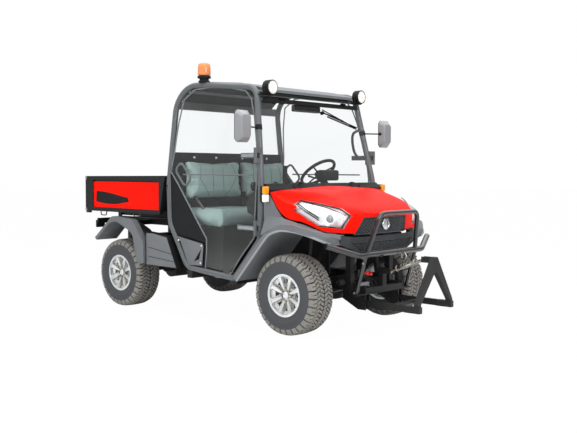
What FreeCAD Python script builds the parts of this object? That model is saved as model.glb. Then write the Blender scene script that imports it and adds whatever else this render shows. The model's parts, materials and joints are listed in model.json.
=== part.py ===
"""Side-by-side utility vehicle with a glazed cab, a tipping bed and a front hitch.

Millimetres. +X is forward, +Y is left, +Z is up, and the origin is on the ground under the
middle of the vehicle. Stations along the vehicle are given from the rear axle, and each piece
is then placed at the rear axle's own station.
"""
import FreeCAD, Part
import math
import os
import re
from types import SimpleNamespace

Vector = FreeCAD.Vector

# Driving sizes

SIZES = {
    # Stance
    "wheelbase": 2040.0,
    "half_track": 612.5,
    "seat_gap": 0.3,          # between faces that rest against each other
    "running_gap": 0.5,       # round shafts and hinge pins
    "moving_gap": 6.0,        # between a moving piece and its neighbour
    "overrun": 5.0,           # by which a cutting tool passes its face
    # Tyres and rims
    "tyre_diameter": 620.0,
    "tyre_width": 254.0,
    "tyre_wall": 14.0,
    "tread_depth": 12.0,
    "lug_width": 46.0,
    "rim_seat_radius": 152.0,
    "rim_flange_radius": 165.0,
    "rim_half_width": 113.8,
    "rim_flange_thick": 9.0,
    "rim_barrel_thick": 6.0,
    "rim_dish": 65.0,
    "rim_disc_thick": 12.0,
    "rim_hub_radius": 58.0,
    "hub_length": 46.0,
    "spindle_radius": 30.0,
    # Cab loops
    "cab_back": 672.0,
    "cab_length": 1170.0,
    "sill_height": 368.0,
    "cab_height": 1621.0,
    "loop_tube_radius": 25.0,
    "loop_half_width": 717.0,
    "lean_height": 1150.0,
    "cross_tube_radius": 22.0,
    "header_depth": 40.0,
    "header_height": 66.0,
    # Chassis
    "rail_back": -470.0,
    "rail_front": 2330.0,
    "rail_inner": 230.0,
    "rail_width": 50.0,
    "rail_bottom": 330.0,
    "rail_height": 80.0,
    "rail_wall": 4.0,
    "cross_member_width": 60.0,
    "cross_member_height": 60.0,
    "outrigger_width": 60.0,
    "outrigger_height": 58.0,
    "outrigger_top": 405.0,
    "subframe_back": -470.0,
    "subframe_front": 600.0,
    "subframe_inner": 330.0,
    "subframe_width": 50.0,
    "subframe_bottom": 740.0,
    "subframe_height": 60.0,
    "fender_bracket_top": 779.5,
    "post_width": 50.0,
    "front_post_top": 750.0,
    "front_bar_half": 400.0,
    "front_bar_height": 30.0,
    "receiver_end": -545.0,
    "receiver_length": 247.0,
    "receiver_outer": 64.0,
    "receiver_inner": 51.0,
    "receiver_pin_radius": 8.0,
    "receiver_pin_setback": 60.0,
    # Cab floor and seat base
    "floor_back": 790.0,
    "floor_bend": 1500.0,
    "toe_top": 1782.0,
    "toe_height": 735.0,
    "firewall_front": 1800.0,
    "firewall_bend": 790.0,
    "firewall_top": 1060.0,
    "floor_thick": 6.0,
    "floor_half_width": 690.0,
    "seat_base_back": 830.0,
    "seat_base_front": 1290.0,
    "seat_base_height": 378.0,
    "seat_base_half": 640.0,
    "seat_base_wall": 6.0,
    "seat_support_height": 510.0,
    "seat_support_thick": 8.0,
    # Seats
    "seat_right_outer": -680.0,
    "seat_right_width": 600.0,
    "seat_left_inner": -30.0,
    "seat_left_width": 530.0,
    "back_bottom": 1005.0,
    "back_top": 1335.0,
    "back_depth": 125.0,
    "back_top_depth": 85.0,
    "cushion_length": 490.0,
    "cushion_height": 140.0,
    "pad_round": 38.0,
    # Rear wall and glass
    "wall_front": 705.0,
    "wall_thick": 15.0,
    "wall_bottom": 715.0,
    "wall_top": 1405.0,
    "band_height": 64.0,
    "band_depth": 26.0,
    "window_top": 1775.0,
    "glass_thick": 6.0,
    # Windshield
    "shield_low_x": 1828.0,
    "shield_low_z": 1150.0,
    "shield_low_half": 708.0,
    "shield_high_x": 1686.0,
    "shield_high_z": 1812.0,
    "shield_high_half": 622.0,
    # Roof
    "roof_back": 668.0,
    "roof_front": 1741.0,
    "roof_top": 1985.0,
    "roof_thick": 22.0,
    "roof_half_width": 585.0,
    "visor_back": 1640.0,
    "visor_half_width": 470.0,
    # Cowl and dashboard
    "cowl_front": 1888.0,
    "cowl_half_width": 714.0,
    "cowl_edge_drop": 45.0,
    "dash_back": 1590.0,
    "dash_bottom": 830.0,
    "dash_top": 1110.0,
    "dash_half_width": 672.0,
    # Steering wheel and column
    "column_y": 330.0,
    "wheel_centre_x": 1480.0,
    "wheel_centre_z": 1235.0,
    "steering_wheel_radius": 165.0,
    "steering_rim_radius": 14.0,
    "steering_boss_radius": 38.0,
    "steering_boss_length": 36.0,
    "column_radius": 30.0,
    "column_length": 200.0,
    "column_tilt_deg": 50.0,
    # Side panels
    "panel_outer": 724.0,
    "panel_thick": 12.0,
    "cover_outer": 770.0,
    "cover_inner": 690.0,
    # Doors
    "door_glass_outer": 728.0,
    "hinge_x": 1770.0,
    "hinge_y": 757.0,
    "hinge_pin_radius": 8.0,
    "hinge_boss_radius": 14.0,
    "upper_hinge_z": 1367.0,
    "lower_hinge_z": 805.0,
    "hinge_height": 60.0,
    "hinge_arm_height": 42.0,
    "hinge_arm_thick": 6.0,
    "upper_arm_tip": 1563.0,
    "lower_arm_tip": 1548.0,
    "pull_x": 850.0,
    "pull_z": 1215.0,
    "pull_length": 190.0,
    "pull_width": 105.0,
    "pull_tube_radius": 10.0,
    "latch_rod_radius": 6.0,
    # Hood
    "hood_back": 1896.0,
    "hood_length": 578.0,
    "hood_half_width": 722.0,
    "hood_top": 1126.0,
    "hood_drop": 365.0,
    "hood_thick": 8.0,
    "hood_gap": 9.0,
    "hood_hinge_x": 1874.0,
    "hood_hinge_y": 420.0,
    "hood_hinge_z": 1099.0,
    "hood_pin_radius": 5.0,
    "hinge_notch": 20.0,
    "lamp_depth": 90.0,
    # Grille and fascia
    "grille_high_x": 2442.0,
    "grille_high_z": 901.0,
    "grille_high_half": 278.0,
    "grille_low_x": 2404.0,
    "grille_low_z": 764.0,
    "grille_low_half": 337.0,
    "grille_thick": 22.0,
    "nose_low": 2432.0,
    "nose_radius": 2000.0,
    "mesh_inset": 3.0,
    "fascia_front": 2452.0,
    "fascia_depth": 100.0,
    "fascia_half_width": 494.0,
    "fascia_bottom": 626.0,
    "fascia_height": 142.0,
    "fascia_thick": 26.0,
    "fascia_border": 12.0,
    # Fenders
    "fender_outer": 790.0,
    "fender_skin": 8.0,
    "liner_outer": 752.0,
    "flare_inner": 735.0,
    "cheek_outer": 722.3,
    "liner_inner": 345.0,
    "rear_liner_inner": 560.0,
    "dash_wall": 10.0,
    # Brush guard
    "guard_tube_radius": 24.0,
    "hoop_tube_radius": 18.0,
    "guard_strut_radius": 15.0,
    "guard_front": 2512.0,
    "guard_height": 622.0,
    "guard_half_bend": 420.0,
    "guard_end_x": 2402.0,
    "guard_end_half": 668.0,
    "guard_end_z": 704.0,
    "hoop_top_x": 2582.0,
    "hoop_top_z": 934.0,
    "hoop_top_half": 250.0,
    "hoop_base_half": 323.0,
    "guard_strut_half": 330.0,
    "guard_foot_x": 2425.0,
    "guard_foot_z": 318.0,
    # Front hitch
    "hitch_half": 217.0,
    "arm_pivot_x": 2425.0,
    "arm_pivot_z": 236.0,
    "arm_tip_x": 2928.0,
    "arm_height": 48.0,
    "arm_width": 26.0,
    "arm_pin_radius": 12.0,
    "a_pivot_x": 2821.0,
    "a_leg_x": 2898.0,
    "a_height": 357.0,
    "a_leg": 40.0,
    "a_cheek": 8.0,
    "link_rear_x": 2498.0,
    "link_rear_z": 474.0,
    "link_front_x": 2820.0,
    "link_front_z": 588.0,
    "link_radius": 13.0,
    "link_sleeve_radius": 19.0,
    "link_eye_radius": 22.0,
    # Bed
    "bed_back": -506.0,
    "bed_foot_gap": 75.0,      # from the cab's hoop to the bed's floor
    "bed_head_gap": 8.0,       # from the cab's hoop to the bed's front rim
    "bed_half_width": 745.0,
    "bed_bottom": 866.0,
    "bed_top": 1192.0,
    "bed_floor_top": 902.0,
    "bed_floor": 12.0,
    "bed_wall": 12.0,
    "bed_sheet": 5.0,
    "bed_rim": 34.0,
    "bed_rim_height": 36.0,
    "bed_sill_bottom": 812.0,
    "bed_sill_gap": 6.0,
    "bed_hinge_x": -440.0,
    "bed_hinge_z": 836.0,
    "bed_sill_tail": 16.0,
    "bed_pin_radius": 12.0,
    "skin_back_inset": 117.0,
    "skin_front_inset": 11.0,
    "skin_bottom": 902.3,
    "skin_height": 240.0,
    "skin_thick": 5.0,
    "tailgate_thick": 26.0,
    "gate_hinge_x": -493.0,
    "gate_hinge_y": 720.0,
    "gate_hinge_z": 857.0,
    "gate_hinge_length": 20.0,
    "gate_barrel_radius": 11.0,
    "gate_pin_radius": 5.0,
    # Bed lift cylinder
    "cylinder_y": 298.0,
    "barrel_x": 300.0,
    "barrel_z": 452.0,
    "barrel_radius": 24.0,
    "rod_eye_x": -40.0,
    "rod_eye_z": 830.0,
    "rod_radius": 12.0,
    "cylinder_pin_radius": 10.0,
    "cylinder_eye_radius": 20.0,
    # Drive line and steering
    "engine_back": 190.0,
    "engine_length": 450.0,
    "engine_half_width": 205.0,
    "engine_height": 310.0,
    "muffler_x": -250.0,
    "muffler_z": 560.0,
    "muffler_radius": 70.0,
    "case_half_width": 125.0,
    "case_radius": 92.0,
    "shaft_radius": 17.0,
    "bellows_radius": 38.0,
    "bellows_length": 90.0,
    "dedion_radius": 28.0,
    "dedion_back": 165.0,
    "dedion_drop": 14.0,
    "carrier_y": 505.0,
    "carrier_radius": 54.0,
    "carrier_length": 60.0,
    "spring_y": 410.0,
    "spring_half_length": 300.0,
    "spring_rise": 95.0,
    "spring_width": 50.0,
    "spring_thick": 22.0,
    "kingpin_y": 482.0,
    "ball_joint_z": 212.0,
    "ball_joint_y": 500.0,
    "ball_radius": 26.0,
    "ball_stud_radius": 8.0,
    "arm_tube_radius": 16.0,
    "arm_spread": 90.0,
    "arm_root_y": 250.0,
    "strut_top_z": 765.0,
    "strut_top_y": 400.0,
    "strut_radius": 26.0,
    "strut_rod_radius": 13.0,
    "knuckle_arm": 130.0,
    "tie_rod_radius": 9.0,
    "steering_arm_radius": 14.0,
    "rack_radius": 22.0,
    "rack_z": 315.0,
    "tower_width": 90.0,
    "tower_thick": 12.0,
    # Small outside pieces
    "mirror_x": 1790.0,
    "mirror_y": 905.0,
    "mirror_z": 1585.0,
    "mirror_width": 160.0,
    "mirror_height": 245.0,
    "mirror_depth": 50.0,
    "mirror_arm_radius": 6.0,
    "work_lamp_x": 1712.0,
    "work_lamp_y": 569.0,
    "work_lamp_z": 1900.0,
    "work_lamp_radius": 58.0,
    "work_lamp_depth": 62.0,
    "beacon_x": 1030.0,
    "beacon_base_radius": 42.0,
    "beacon_base_height": 40.0,
    "beacon_dome_radius": 56.0,
    "beacon_height": 158.0,
    "signal_x": 1866.0,
    "signal_width": 62.0,
    "signal_depth": 44.0,
    "signal_bottom": 1009.0,
    "signal_height": 125.0,
    "tail_lamp_y": 640.0,
    "tail_lamp_width": 90.0,
    "tail_lamp_height": 70.0,
    "tail_lamp_depth": 30.0,
    "tail_lamp_z": 700.0,
    "wiper_pivot_y": 110.0,
    "wiper_blade_length": 420.0,
    "wiper_radius": 5.0,
}

# Shares that go with the sizes above

LEAN_SHARE = 0.125            # inward lean of the cab's sides, per unit of height

# Document, sheet and drawing helpers

doc = FreeCAD.newDocument("UtilityVehicle")
sheet = doc.addObject("Spreadsheet::Sheet", "Sizes")
nodes = []


def fill_sheet():
    """Write every size into the sheet under its own alias."""
    middle = -(SIZES["arm_tip_x"] + SIZES["receiver_end"]) / 2
    SIZES["rear_axle_x"] = middle
    for row, (name, value) in enumerate(SIZES.items(), start=1):
        sheet.set("A%d" % row, name)
        sheet.set("B%d" % row, "%s" % value)
        sheet.setAlias("B%d" % row, name)
    doc.recompute()
    return SimpleNamespace(**{name: float(sheet.get(name)) for name in SIZES})


d = fill_sheet()


def bound(text):
    """Turn names of sizes in a text into references to the sheet."""
    def refer(match):
        word = match.group(0)
        return "Sizes." + word if word in SIZES else word
    return re.sub(r"[A-Za-z_][A-Za-z_0-9]*", refer, text)


def node(piece, label):
    """Name a finished sub-part and stand it at the rear axle's station."""
    piece.Label = label
    piece.setExpression("Placement.Base.x", bound("rear_axle_x"))
    nodes.append(piece)
    return piece


def box(x, y, z, length, width, height):
    """Box whose corner and sides are texts in sheet names."""
    piece = doc.addObject("Part::Box", "Box")
    values = (("Placement.Base.x", x), ("Placement.Base.y", y), ("Placement.Base.z", z),
              ("Length", length), ("Width", width), ("Height", height))
    for name, text in values:
        piece.setExpression(name, bound(text))
    return piece


TURNS = {
    "x": FreeCAD.Rotation(Vector(0, 1, 0), 90),
    "y": FreeCAD.Rotation(Vector(1, 0, 0), -90),
    "z": FreeCAD.Rotation(),
}


def cylinder(axis, x, y, z, radius, length):
    """Cylinder along a row axis from its start point."""
    piece = doc.addObject("Part::Cylinder", "Cylinder")
    piece.Placement = FreeCAD.Placement(Vector(), TURNS[axis])
    values = (("Placement.Base.x", x), ("Placement.Base.y", y), ("Placement.Base.z", z),
              ("Radius", radius), ("Height", length))
    for name, text in values:
        piece.setExpression(name, bound(text))
    return piece


def fuse(*pieces):
    """Join pieces that are one solid in the real part."""
    joined = doc.addObject("Part::MultiFuse", "Fuse")
    joined.Shapes = list(pieces)
    return joined


def cut(base, *tools):
    """Take tools away from a base piece."""
    tool = tools[0] if len(tools) == 1 else fuse(*tools)
    result = doc.addObject("Part::Cut", "Cut")
    result.Base = base
    result.Tool = tool
    return result


def common(*pieces):
    """Keep what all pieces share."""
    result = doc.addObject("Part::MultiCommon", "Common")
    result.Shapes = list(pieces)
    return result


def group(*pieces):
    """Hold separate solids of one sub-part together."""
    result = doc.addObject("Part::Compound", "Group")
    result.Links = list(pieces)
    return result


def mirrored(piece):
    """The same piece on the vehicle's other side."""
    result = doc.addObject("Part::Mirroring", "Mirror")
    result.Source = piece
    result.Base = Vector()
    result.Normal = Vector(0, 1, 0)
    return result


def both_sides(piece):
    """A piece with its mirror image."""
    return group(piece, mirrored(piece))


def corner_cut(before, corner, after, bend):
    """Start, middle and end of the arc that rounds one corner."""
    one = (before - corner).normalize()
    two = (after - corner).normalize()
    half = one.getAngle(two) / 2
    reach = bend / math.tan(half)
    inward = (one + two).normalize()
    middle = corner + inward * (bend / math.sin(half) - bend)
    return corner + one * reach, middle, corner + two * reach


def rounded(points, closed=True):
    """Lines and tangent arcs through points (x, y, z, bend)."""
    spots = [Vector(*point[:3]) for point in points]
    count = len(spots)
    ends = []
    for index, spot in enumerate(spots):
        bend = points[index][3]
        inside = closed or 0 < index < count - 1
        if bend and inside:
            ends.append(corner_cut(spots[index - 1], spot, spots[(index + 1) % count], bend))
        else:
            ends.append((spot, None, spot))
    edges = []
    for index in range(count):
        start, middle, end = ends[index]
        if middle is not None:
            edges.append(Part.Arc(start, middle, end))
        if closed or index < count - 1:
            edges.append(Part.LineSegment(end, ends[(index + 1) % count][0]))
    return edges


def outline(corners, bend=0.0):
    """Closed flat outline through (across, up) corners, each with its own bend if given."""
    full = [(spot[0], spot[1], 0.0, spot[2] if len(spot) > 2 else bend) for spot in corners]
    return rounded(full)


PLANES = {"side": "XZ_Plane", "front": "YZ_Plane", "top": "XY_Plane"}


def sketch_in(body, plane, loops, start):
    """Sketch of closed loops on one of a body's own origin planes."""
    sketch = body.newObject("Sketcher::SketchObject", "Outline")
    roles = {feature.Role: feature for feature in body.Origin.OriginFeatures}
    sketch.AttachmentSupport = [(roles[PLANES[plane]], "")]
    sketch.MapMode = "FlatFace"
    sketch.setExpression("AttachmentOffset.Base.z", bound(start))
    for loop in loops:
        sketch.addGeometry(loop, False)
    return sketch


def new_body():
    """Empty body that may hold more than one solid."""
    body = doc.addObject("PartDesign::Body", "Body")
    body.AllowCompound = True
    return body


def prism(plane, loops, start, length, symmetric=False):
    """Pad of flat outlines. The side plane pads towards the right, the others forward or up."""
    body = new_body()
    sketch = sketch_in(body, plane, loops, start)
    pad = body.newObject("PartDesign::Pad", "Pad")
    pad.Profile = sketch
    pad.setExpression("Length", bound(length))
    if symmetric:
        pad.SideType = "Symmetric"
    return body


def turned(loops, plane="side", axis="H_Axis"):
    """Solid of revolution of outlines about the sketch's own axis."""
    body = new_body()
    sketch = sketch_in(body, plane, loops, "0")
    turn = body.newObject("PartDesign::Revolution", "Revolution")
    turn.Profile = sketch
    turn.ReferenceAxis = (sketch, [axis])
    turn.Angle = 360.0
    return body


def shaped(shape):
    """Piece whose shape no single feature makes."""
    piece = doc.addObject("Part::Feature", "Shape")
    piece.Shape = shape
    return piece


def pipe(points, radius):
    """Round tube or bar along straight runs joined by tangent arcs."""
    path = Part.Wire([edge.toShape() for edge in rounded(points, closed=False)])
    first = path.OrderedEdges[0]
    start = first.valueAt(first.FirstParameter)
    along = first.tangentAt(first.FirstParameter)
    ring = Part.Wire(Part.Circle(start, along, radius).toShape())
    solid = path.makePipeShell([ring], True, False)
    return solid


def rod(start, end, radius):
    """Straight round bar between two points."""
    along = Vector(*end) - Vector(*start)
    return Part.makeCylinder(radius, along.Length, Vector(*start), along)


def slab(points, depth):
    """Flat plate: a polygon of 3-D points moved along a vector."""
    spots = [Vector(*point) for point in points]
    return Part.Face(Part.makePolygon(spots + spots[:1])).extrude(Vector(*depth))


def loft(sections, ruled=True):
    """Solid through closed sections of 3-D points."""
    wires = []
    for section in sections:
        spots = [Vector(*point) for point in section]
        wires.append(Part.makePolygon(spots + spots[:1]))
    return Part.makeLoft(wires, True, ruled)


# Cab side loops

def cab(along_share, up_share):
    """Station and height of a point given as shares of the cab's length and height."""
    return (d.cab_back + along_share * d.cab_length, d.sill_height + up_share * d.cab_height)


def lean(height):
    """How far the cab's side has leaned inward at a height."""
    return max(0.0, height - d.lean_height) * LEAN_SHARE


def cab_point(shares, bend):
    """Point on the right loop's centre line with its bend radius."""
    along, height = cab(*shares)
    return (along, -(d.loop_half_width - lean(height)), height, bend)


ROOF_JOINT_SHARES = (0.300, 0.9838)
SILL_JOINT_SHARES = (0.450, 0.0296)
REAR_LOOP_SHARES = (
    (0.0214, 0.9846, 0.142), (0.0240, 0.4824, 0.30), (0.0350, 0.2665, 0.12),
    (0.2256, 0.0444, 0.070),
)
FRONT_LOOP_SHARES = (
    (0.7120, 0.0154, 0.040), (0.9513, 0.2147, 0.050), (0.9590, 0.4824, 0.30),
    (0.8376, 0.9482, 0.075),
)


def loop_points(shares, first, last):
    """Run of the loop between the two joints, bends as shares of the cab's height."""
    inner = [cab_point(share[:2], share[2] * d.cab_height) for share in shares]
    return [cab_point(first, 0.0)] + inner + [cab_point(last, 0.0)]


def loop_shape(radius):
    """One side loop of bent tube, closed at the roof and the sill."""
    rear = pipe(loop_points(REAR_LOOP_SHARES, ROOF_JOINT_SHARES, SILL_JOINT_SHARES), radius)
    front = pipe(loop_points(FRONT_LOOP_SHARES, SILL_JOINT_SHARES, ROOF_JOINT_SHARES), radius)
    return rear.fuse(front)


def loop_clearance():
    """Tool that keeps panels off both loops."""
    right = loop_shape(d.loop_tube_radius + d.seat_gap)
    left = right.mirror(Vector(), Vector(0, 1, 0))
    return shaped(Part.makeCompound([right, left]))


def rops_frame():
    """Side loops joined by the rear header and two roof cross tubes."""
    right = loop_shape(d.loop_tube_radius)
    left = right.mirror(Vector(), Vector(0, 1, 0))
    back = d.cab_back + d.loop_tube_radius
    header_top = d.window_top + d.header_height
    half = d.loop_half_width - lean(header_top)
    header = Part.makeBox(d.header_depth, half + half, d.header_height,
                          Vector(back - d.header_depth / 2, -half, d.window_top))
    shape = right.fuse([left, header])
    bars = []
    for share in ROOF_BAR_SHARES:
        along = d.cab_back + share * d.cab_length
        height = roof_seat(along, d.cross_tube_radius)
        reach = d.loop_half_width - lean(height)
        bars.append(rod((along, -reach, height), (along, reach, height), d.cross_tube_radius))
    blocks = fuse(hinge_block("upper_hinge_z"), hinge_block("lower_hinge_z"))
    return node(fuse(shaped(shape.fuse(bars)), blocks, mirrored(blocks)), "rops_frame")


ROOF_BAR_SHARES = (0.150, 0.8376)


# Wheels

TYRE_SECTION_SHARES = (
    (0.80, 0.500), (0.93, 0.560), (1.00, 0.720), (0.97, 0.860), (0.86, 0.950), (0.60, 0.990),
    (0.0, 1.0),
)


LUG_PITCHES = 20
# Section of a shoulder lug, as shares of the tyre's half width and radius
LUG_SECTION_SHARES = ((0.40, 0.930), (0.40, 0.999), (0.84, 0.994), (0.975, 0.930),
                      (0.985, 0.820), (0.80, 0.820))


def lug(side, turn):
    """One shoulder lug on a side of the tyre, turned about the axle line."""
    corners = [Vector(-d.lug_width / 2, side * across * d.tyre_width / 2, up * d.tyre_diameter / 2)
               for across, up in LUG_SECTION_SHARES]
    block = slab(corners, (d.lug_width, 0, 0))
    block.rotate(Vector(), Vector(0, 1, 0), turn)
    return block


def tread():
    """Two rows of shoulder lugs, staggered by half a pitch."""
    pitch = 360 / LUG_PITCHES
    return Part.makeCompound([lug(side, (index + row / 2) * pitch)
                              for row, side in enumerate((-1, 1)) for index in range(LUG_PITCHES)])


def tyre_section(inset):
    """Outer line of the tyre's section, from bead to crown, moved in by an inset."""
    half = d.tyre_width / 2 - inset
    crown = d.tyre_diameter / 2 - d.tread_depth - inset
    seat = d.rim_seat_radius + d.seat_gap
    line = []
    for across, up in TYRE_SECTION_SHARES:
        radius = max(seat, up * crown)
        line.append((across * half, radius))
    return line


def tyre(label, station, side):
    """One tyre about its own axle line."""
    outer = tyre_section(0.0)
    inner = tyre_section(d.tyre_wall)
    seat = d.rim_seat_radius + d.seat_gap
    bead = d.rim_half_width - d.rim_flange_thick - d.seat_gap
    outer[:1] = [(bead, seat), (bead, d.rim_flange_radius + 2 * d.running_gap)]
    inner[:2] = [(bead - d.tyre_wall, seat)]
    right = outer + [(-across, up) for across, up in outer[-2::-1]]
    back = [(-across, up) for across, up in inner] + inner[-2::-1]
    carcass = turned([outline(right + back)], plane="front")
    return wheel_node(fuse(carcass, shaped(tread())), label, station, side)


def wheel_node(piece, label, station, side):
    """Stand a wheel piece, drawn with its outside towards the right, at its corner."""
    piece.Label = label
    turn = FreeCAD.Rotation(Vector(0, 0, 1), 180 if side > 0 else 0)
    piece.Placement = FreeCAD.Placement(Vector(), turn)
    piece.setExpression("Placement.Base.x", bound("rear_axle_x + " + station))
    piece.setExpression("Placement.Base.y", bound("%d * half_track" % side))
    piece.setExpression("Placement.Base.z", bound("tyre_diameter / 2"))
    nodes.append(piece)
    return piece


def rim_ring():
    """Barrel of the rim with its two flanges, as a section of (across, radius)."""
    half = d.rim_half_width
    flange = d.rim_flange_thick
    seat = d.rim_seat_radius
    inner = seat - d.rim_barrel_thick
    return [(-half, d.rim_flange_radius), (-half, inner), (half, inner),
            (half, d.rim_flange_radius), (half - flange, d.rim_flange_radius),
            (half - flange, seat), (flange - half, seat), (flange - half, d.rim_flange_radius)]


def rim_disc():
    """Dished disc and hub, drawn with the outside at negative across."""
    face = -(d.rim_half_width - d.rim_dish)
    back = face + d.rim_disc_thick
    edge = d.rim_seat_radius - d.rim_barrel_thick / 2
    shoulder = -(d.rim_half_width - d.rim_dish * RIM_SHOULDER_SHARE)
    bore = d.spindle_radius + d.running_gap
    return [(face, bore), (face, d.rim_hub_radius), (shoulder, edge),
            (shoulder + d.rim_disc_thick, edge), (back, d.rim_hub_radius),
            (back + d.hub_length, d.rim_hub_radius), (back + d.hub_length, bore)]


RIM_SHOULDER_SHARE = 0.45
RIM_WINDOWS = 8
WINDOW_SHARES = ((0.50, 0.030), (0.80, 0.130), (0.80, -0.130), (0.50, -0.030))


def rim(label, station, side):
    """Alloy rim: barrel, dished disc with triangular windows, hub bore."""
    body = turned([outline(rim_ring())], plane="front")
    disc = sketch_in(body, "front", [outline(rim_disc())], "0")
    turn = body.newObject("PartDesign::Revolution", "Disc")
    turn.Profile = disc
    turn.ReferenceAxis = (disc, ["H_Axis"])
    turn.Angle = 360.0
    seat = d.rim_seat_radius
    corners = [(seat * up, seat * across) for up, across in WINDOW_SHARES]
    window = sketch_in(body, "side", [outline(corners)], "0")
    pocket = body.newObject("PartDesign::Pocket", "Window")
    pocket.Profile = window
    pocket.setExpression("Length", bound("rim_half_width"))
    pocket.Reversed = True
    doc.recompute()
    pattern = body.newObject("PartDesign::PolarPattern", "Windows")
    pattern.Originals = [pocket]
    pattern.Axis = (disc, ["H_Axis"])
    pattern.Angle = 360.0
    pattern.Occurrences = RIM_WINDOWS
    body.Tip = pattern
    return wheel_node(body, label, station, side)


# Chassis


def side_rail(y):
    """One hollow box-section rail of the chassis."""
    outer = box("rail_back", y, "rail_bottom", "rail_front - rail_back", "rail_width",
                "rail_height")
    inner = box("rail_back - overrun", "%s + rail_wall" % y, "rail_bottom + rail_wall",
                "rail_front - rail_back + 2 * overrun", "rail_width - 2 * rail_wall",
                "rail_height - 2 * rail_wall")
    return cut(outer, inner)


CROSS_SHARES = (0.02, 0.33, 0.56, 0.80, 0.985)
OUTRIGGER_SHARES = (0.50, 0.69)


def cross_members():
    """Square members between the rails, at shares of the rails' length."""
    members = []
    for share in CROSS_SHARES:
        station = "rail_back + %s * (rail_front - rail_back - cross_member_width)" % share
        members.append(box(station, "-rail_inner", "rail_bottom + seat_gap", "cross_member_width",
                           "2 * rail_inner", "cross_member_height"))
    return members


def outriggers():
    """Beams under the floor with saddles for the cab's sills, cut to the tubes."""
    beams = []
    for share in OUTRIGGER_SHARES:
        station = "rail_back + %s * (rail_front - rail_back)" % share
        beams.append(box(station, "-loop_half_width", "outrigger_top - outrigger_height",
                         "outrigger_width", "2 * loop_half_width", "outrigger_height"))
        for y in ("loop_half_width - loop_tube_radius", "-loop_half_width"):
            beams.append(box(station, y, "outrigger_top - outrigger_height", "outrigger_width",
                             "loop_tube_radius", "outrigger_height + loop_tube_radius"))
    return beams


def bed_subframe():
    """Two beams under the bed on posts from the rails, with the bed's hinge ears."""
    pieces = []
    for y in ("subframe_inner", "-subframe_inner - subframe_width"):
        pieces.append(box("subframe_back", y, "subframe_bottom", "subframe_front - subframe_back",
                          "subframe_width", "subframe_height"))
    for station in ("subframe_back", "subframe_front - post_width"):
        pieces.append(box(station, "-subframe_inner - subframe_width", "subframe_bottom",
                          "post_width", "2 * (subframe_inner + subframe_width)", "post_width"))
        for y in ("rail_inner", "-rail_inner - post_width"):
            base = "max(rail_back; %s)" % station
            pieces.append(box(base, y, "rail_bottom + rail_height - overrun", "post_width",
                              "post_width", "subframe_bottom + overrun * 2 - rail_bottom - rail_height"))
    return pieces


def hinge_ears():
    """Ears outside the bed's sills, each with its pin."""
    pieces = []
    ear = "subframe_inner + subframe_width + bed_sill_gap"
    for side in ("", "-"):
        start = ear if side == "" else "-(%s) - bed_wall" % ear
        pieces.append(box("bed_hinge_x - post_width / 2", start, "subframe_bottom",
                          "post_width", "bed_wall",
                          "bed_hinge_z - subframe_bottom + post_width / 2"))
        start = "subframe_inner" if side == "" else "-(%s) - bed_wall" % ear
        pieces.append(cylinder("y", "bed_hinge_x", start, "bed_hinge_z", "bed_pin_radius",
                               "subframe_width + bed_sill_gap + bed_wall"))
    for y in ("subframe_inner + subframe_width - overrun", "-(%s) - bed_wall" % ear):
        pieces.append(box("bed_hinge_x - post_width / 2", y, "subframe_bottom",
                          "post_width", "bed_sill_gap + bed_wall + overrun", "post_width"))
    return pieces


def brackets():
    """Spring hangers, fender brackets, tail bar, fascia brackets and bed rests."""
    pieces = [box("subframe_back", "-tail_lamp_y", "subframe_bottom", "rail_wall * 4",
                  "2 * tail_lamp_y", "post_width")]
    spring_foot = ("tyre_diameter / 2 - dedion_drop + dedion_radius + spring_rise"
                   " - post_width * spring_rise / spring_half_length")
    for side in ("", "-"):
        outer = "spring_y + spring_width / 2"
        y = "rail_inner + rail_width - rail_wall" if side == "" else "-(%s)" % outer
        for station in ("-dedion_back - spring_half_length",
                        "-dedion_back + spring_half_length - post_width"):
            pieces.append(box(station, y, spring_foot + " - post_width", "post_width",
                              "%s - rail_inner - rail_width + rail_wall" % outer, "post_width"))
        y = "-rear_liner_inner - post_width"
        if side == "":
            y = "subframe_inner + subframe_width - rail_wall"
        pieces.append(box("-post_width / 2", y, "subframe_bottom", "post_width",
                          "rear_liner_inner + post_width - subframe_inner - subframe_width"
                          " + rail_wall", "fender_bracket_top - subframe_bottom"))
        y = "rail_inner" if side == "" else "-rail_inner - bed_wall"
        pieces.append(box("muffler_x - post_width / 2", y,
                          "rail_bottom + rail_height - rail_wall", "post_width", "bed_wall",
                          "muffler_z - rail_bottom - rail_height + rail_wall"))
        y = "subframe_inner" if side == "" else "-subframe_inner - subframe_width"
        pieces.append(box("subframe_front - 3 * post_width", y,
                          "subframe_bottom + subframe_height - rail_wall", "post_width",
                          "subframe_width", "bed_sill_bottom - seat_gap - subframe_bottom"
                          " - subframe_height + rail_wall"))
        y = "front_bar_half / 4" if side == "" else "-front_bar_half / 4 - post_width"
        bracket = box("rail_front - rail_wall", y, "front_post_top - front_bar_height",
                      "fascia_front - fascia_thick - rail_front + rail_wall", "post_width",
                      "front_bar_height")
        pieces.append(cut(bracket, fascia_band(d.fascia_thick + d.seat_gap)))
    return pieces


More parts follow.
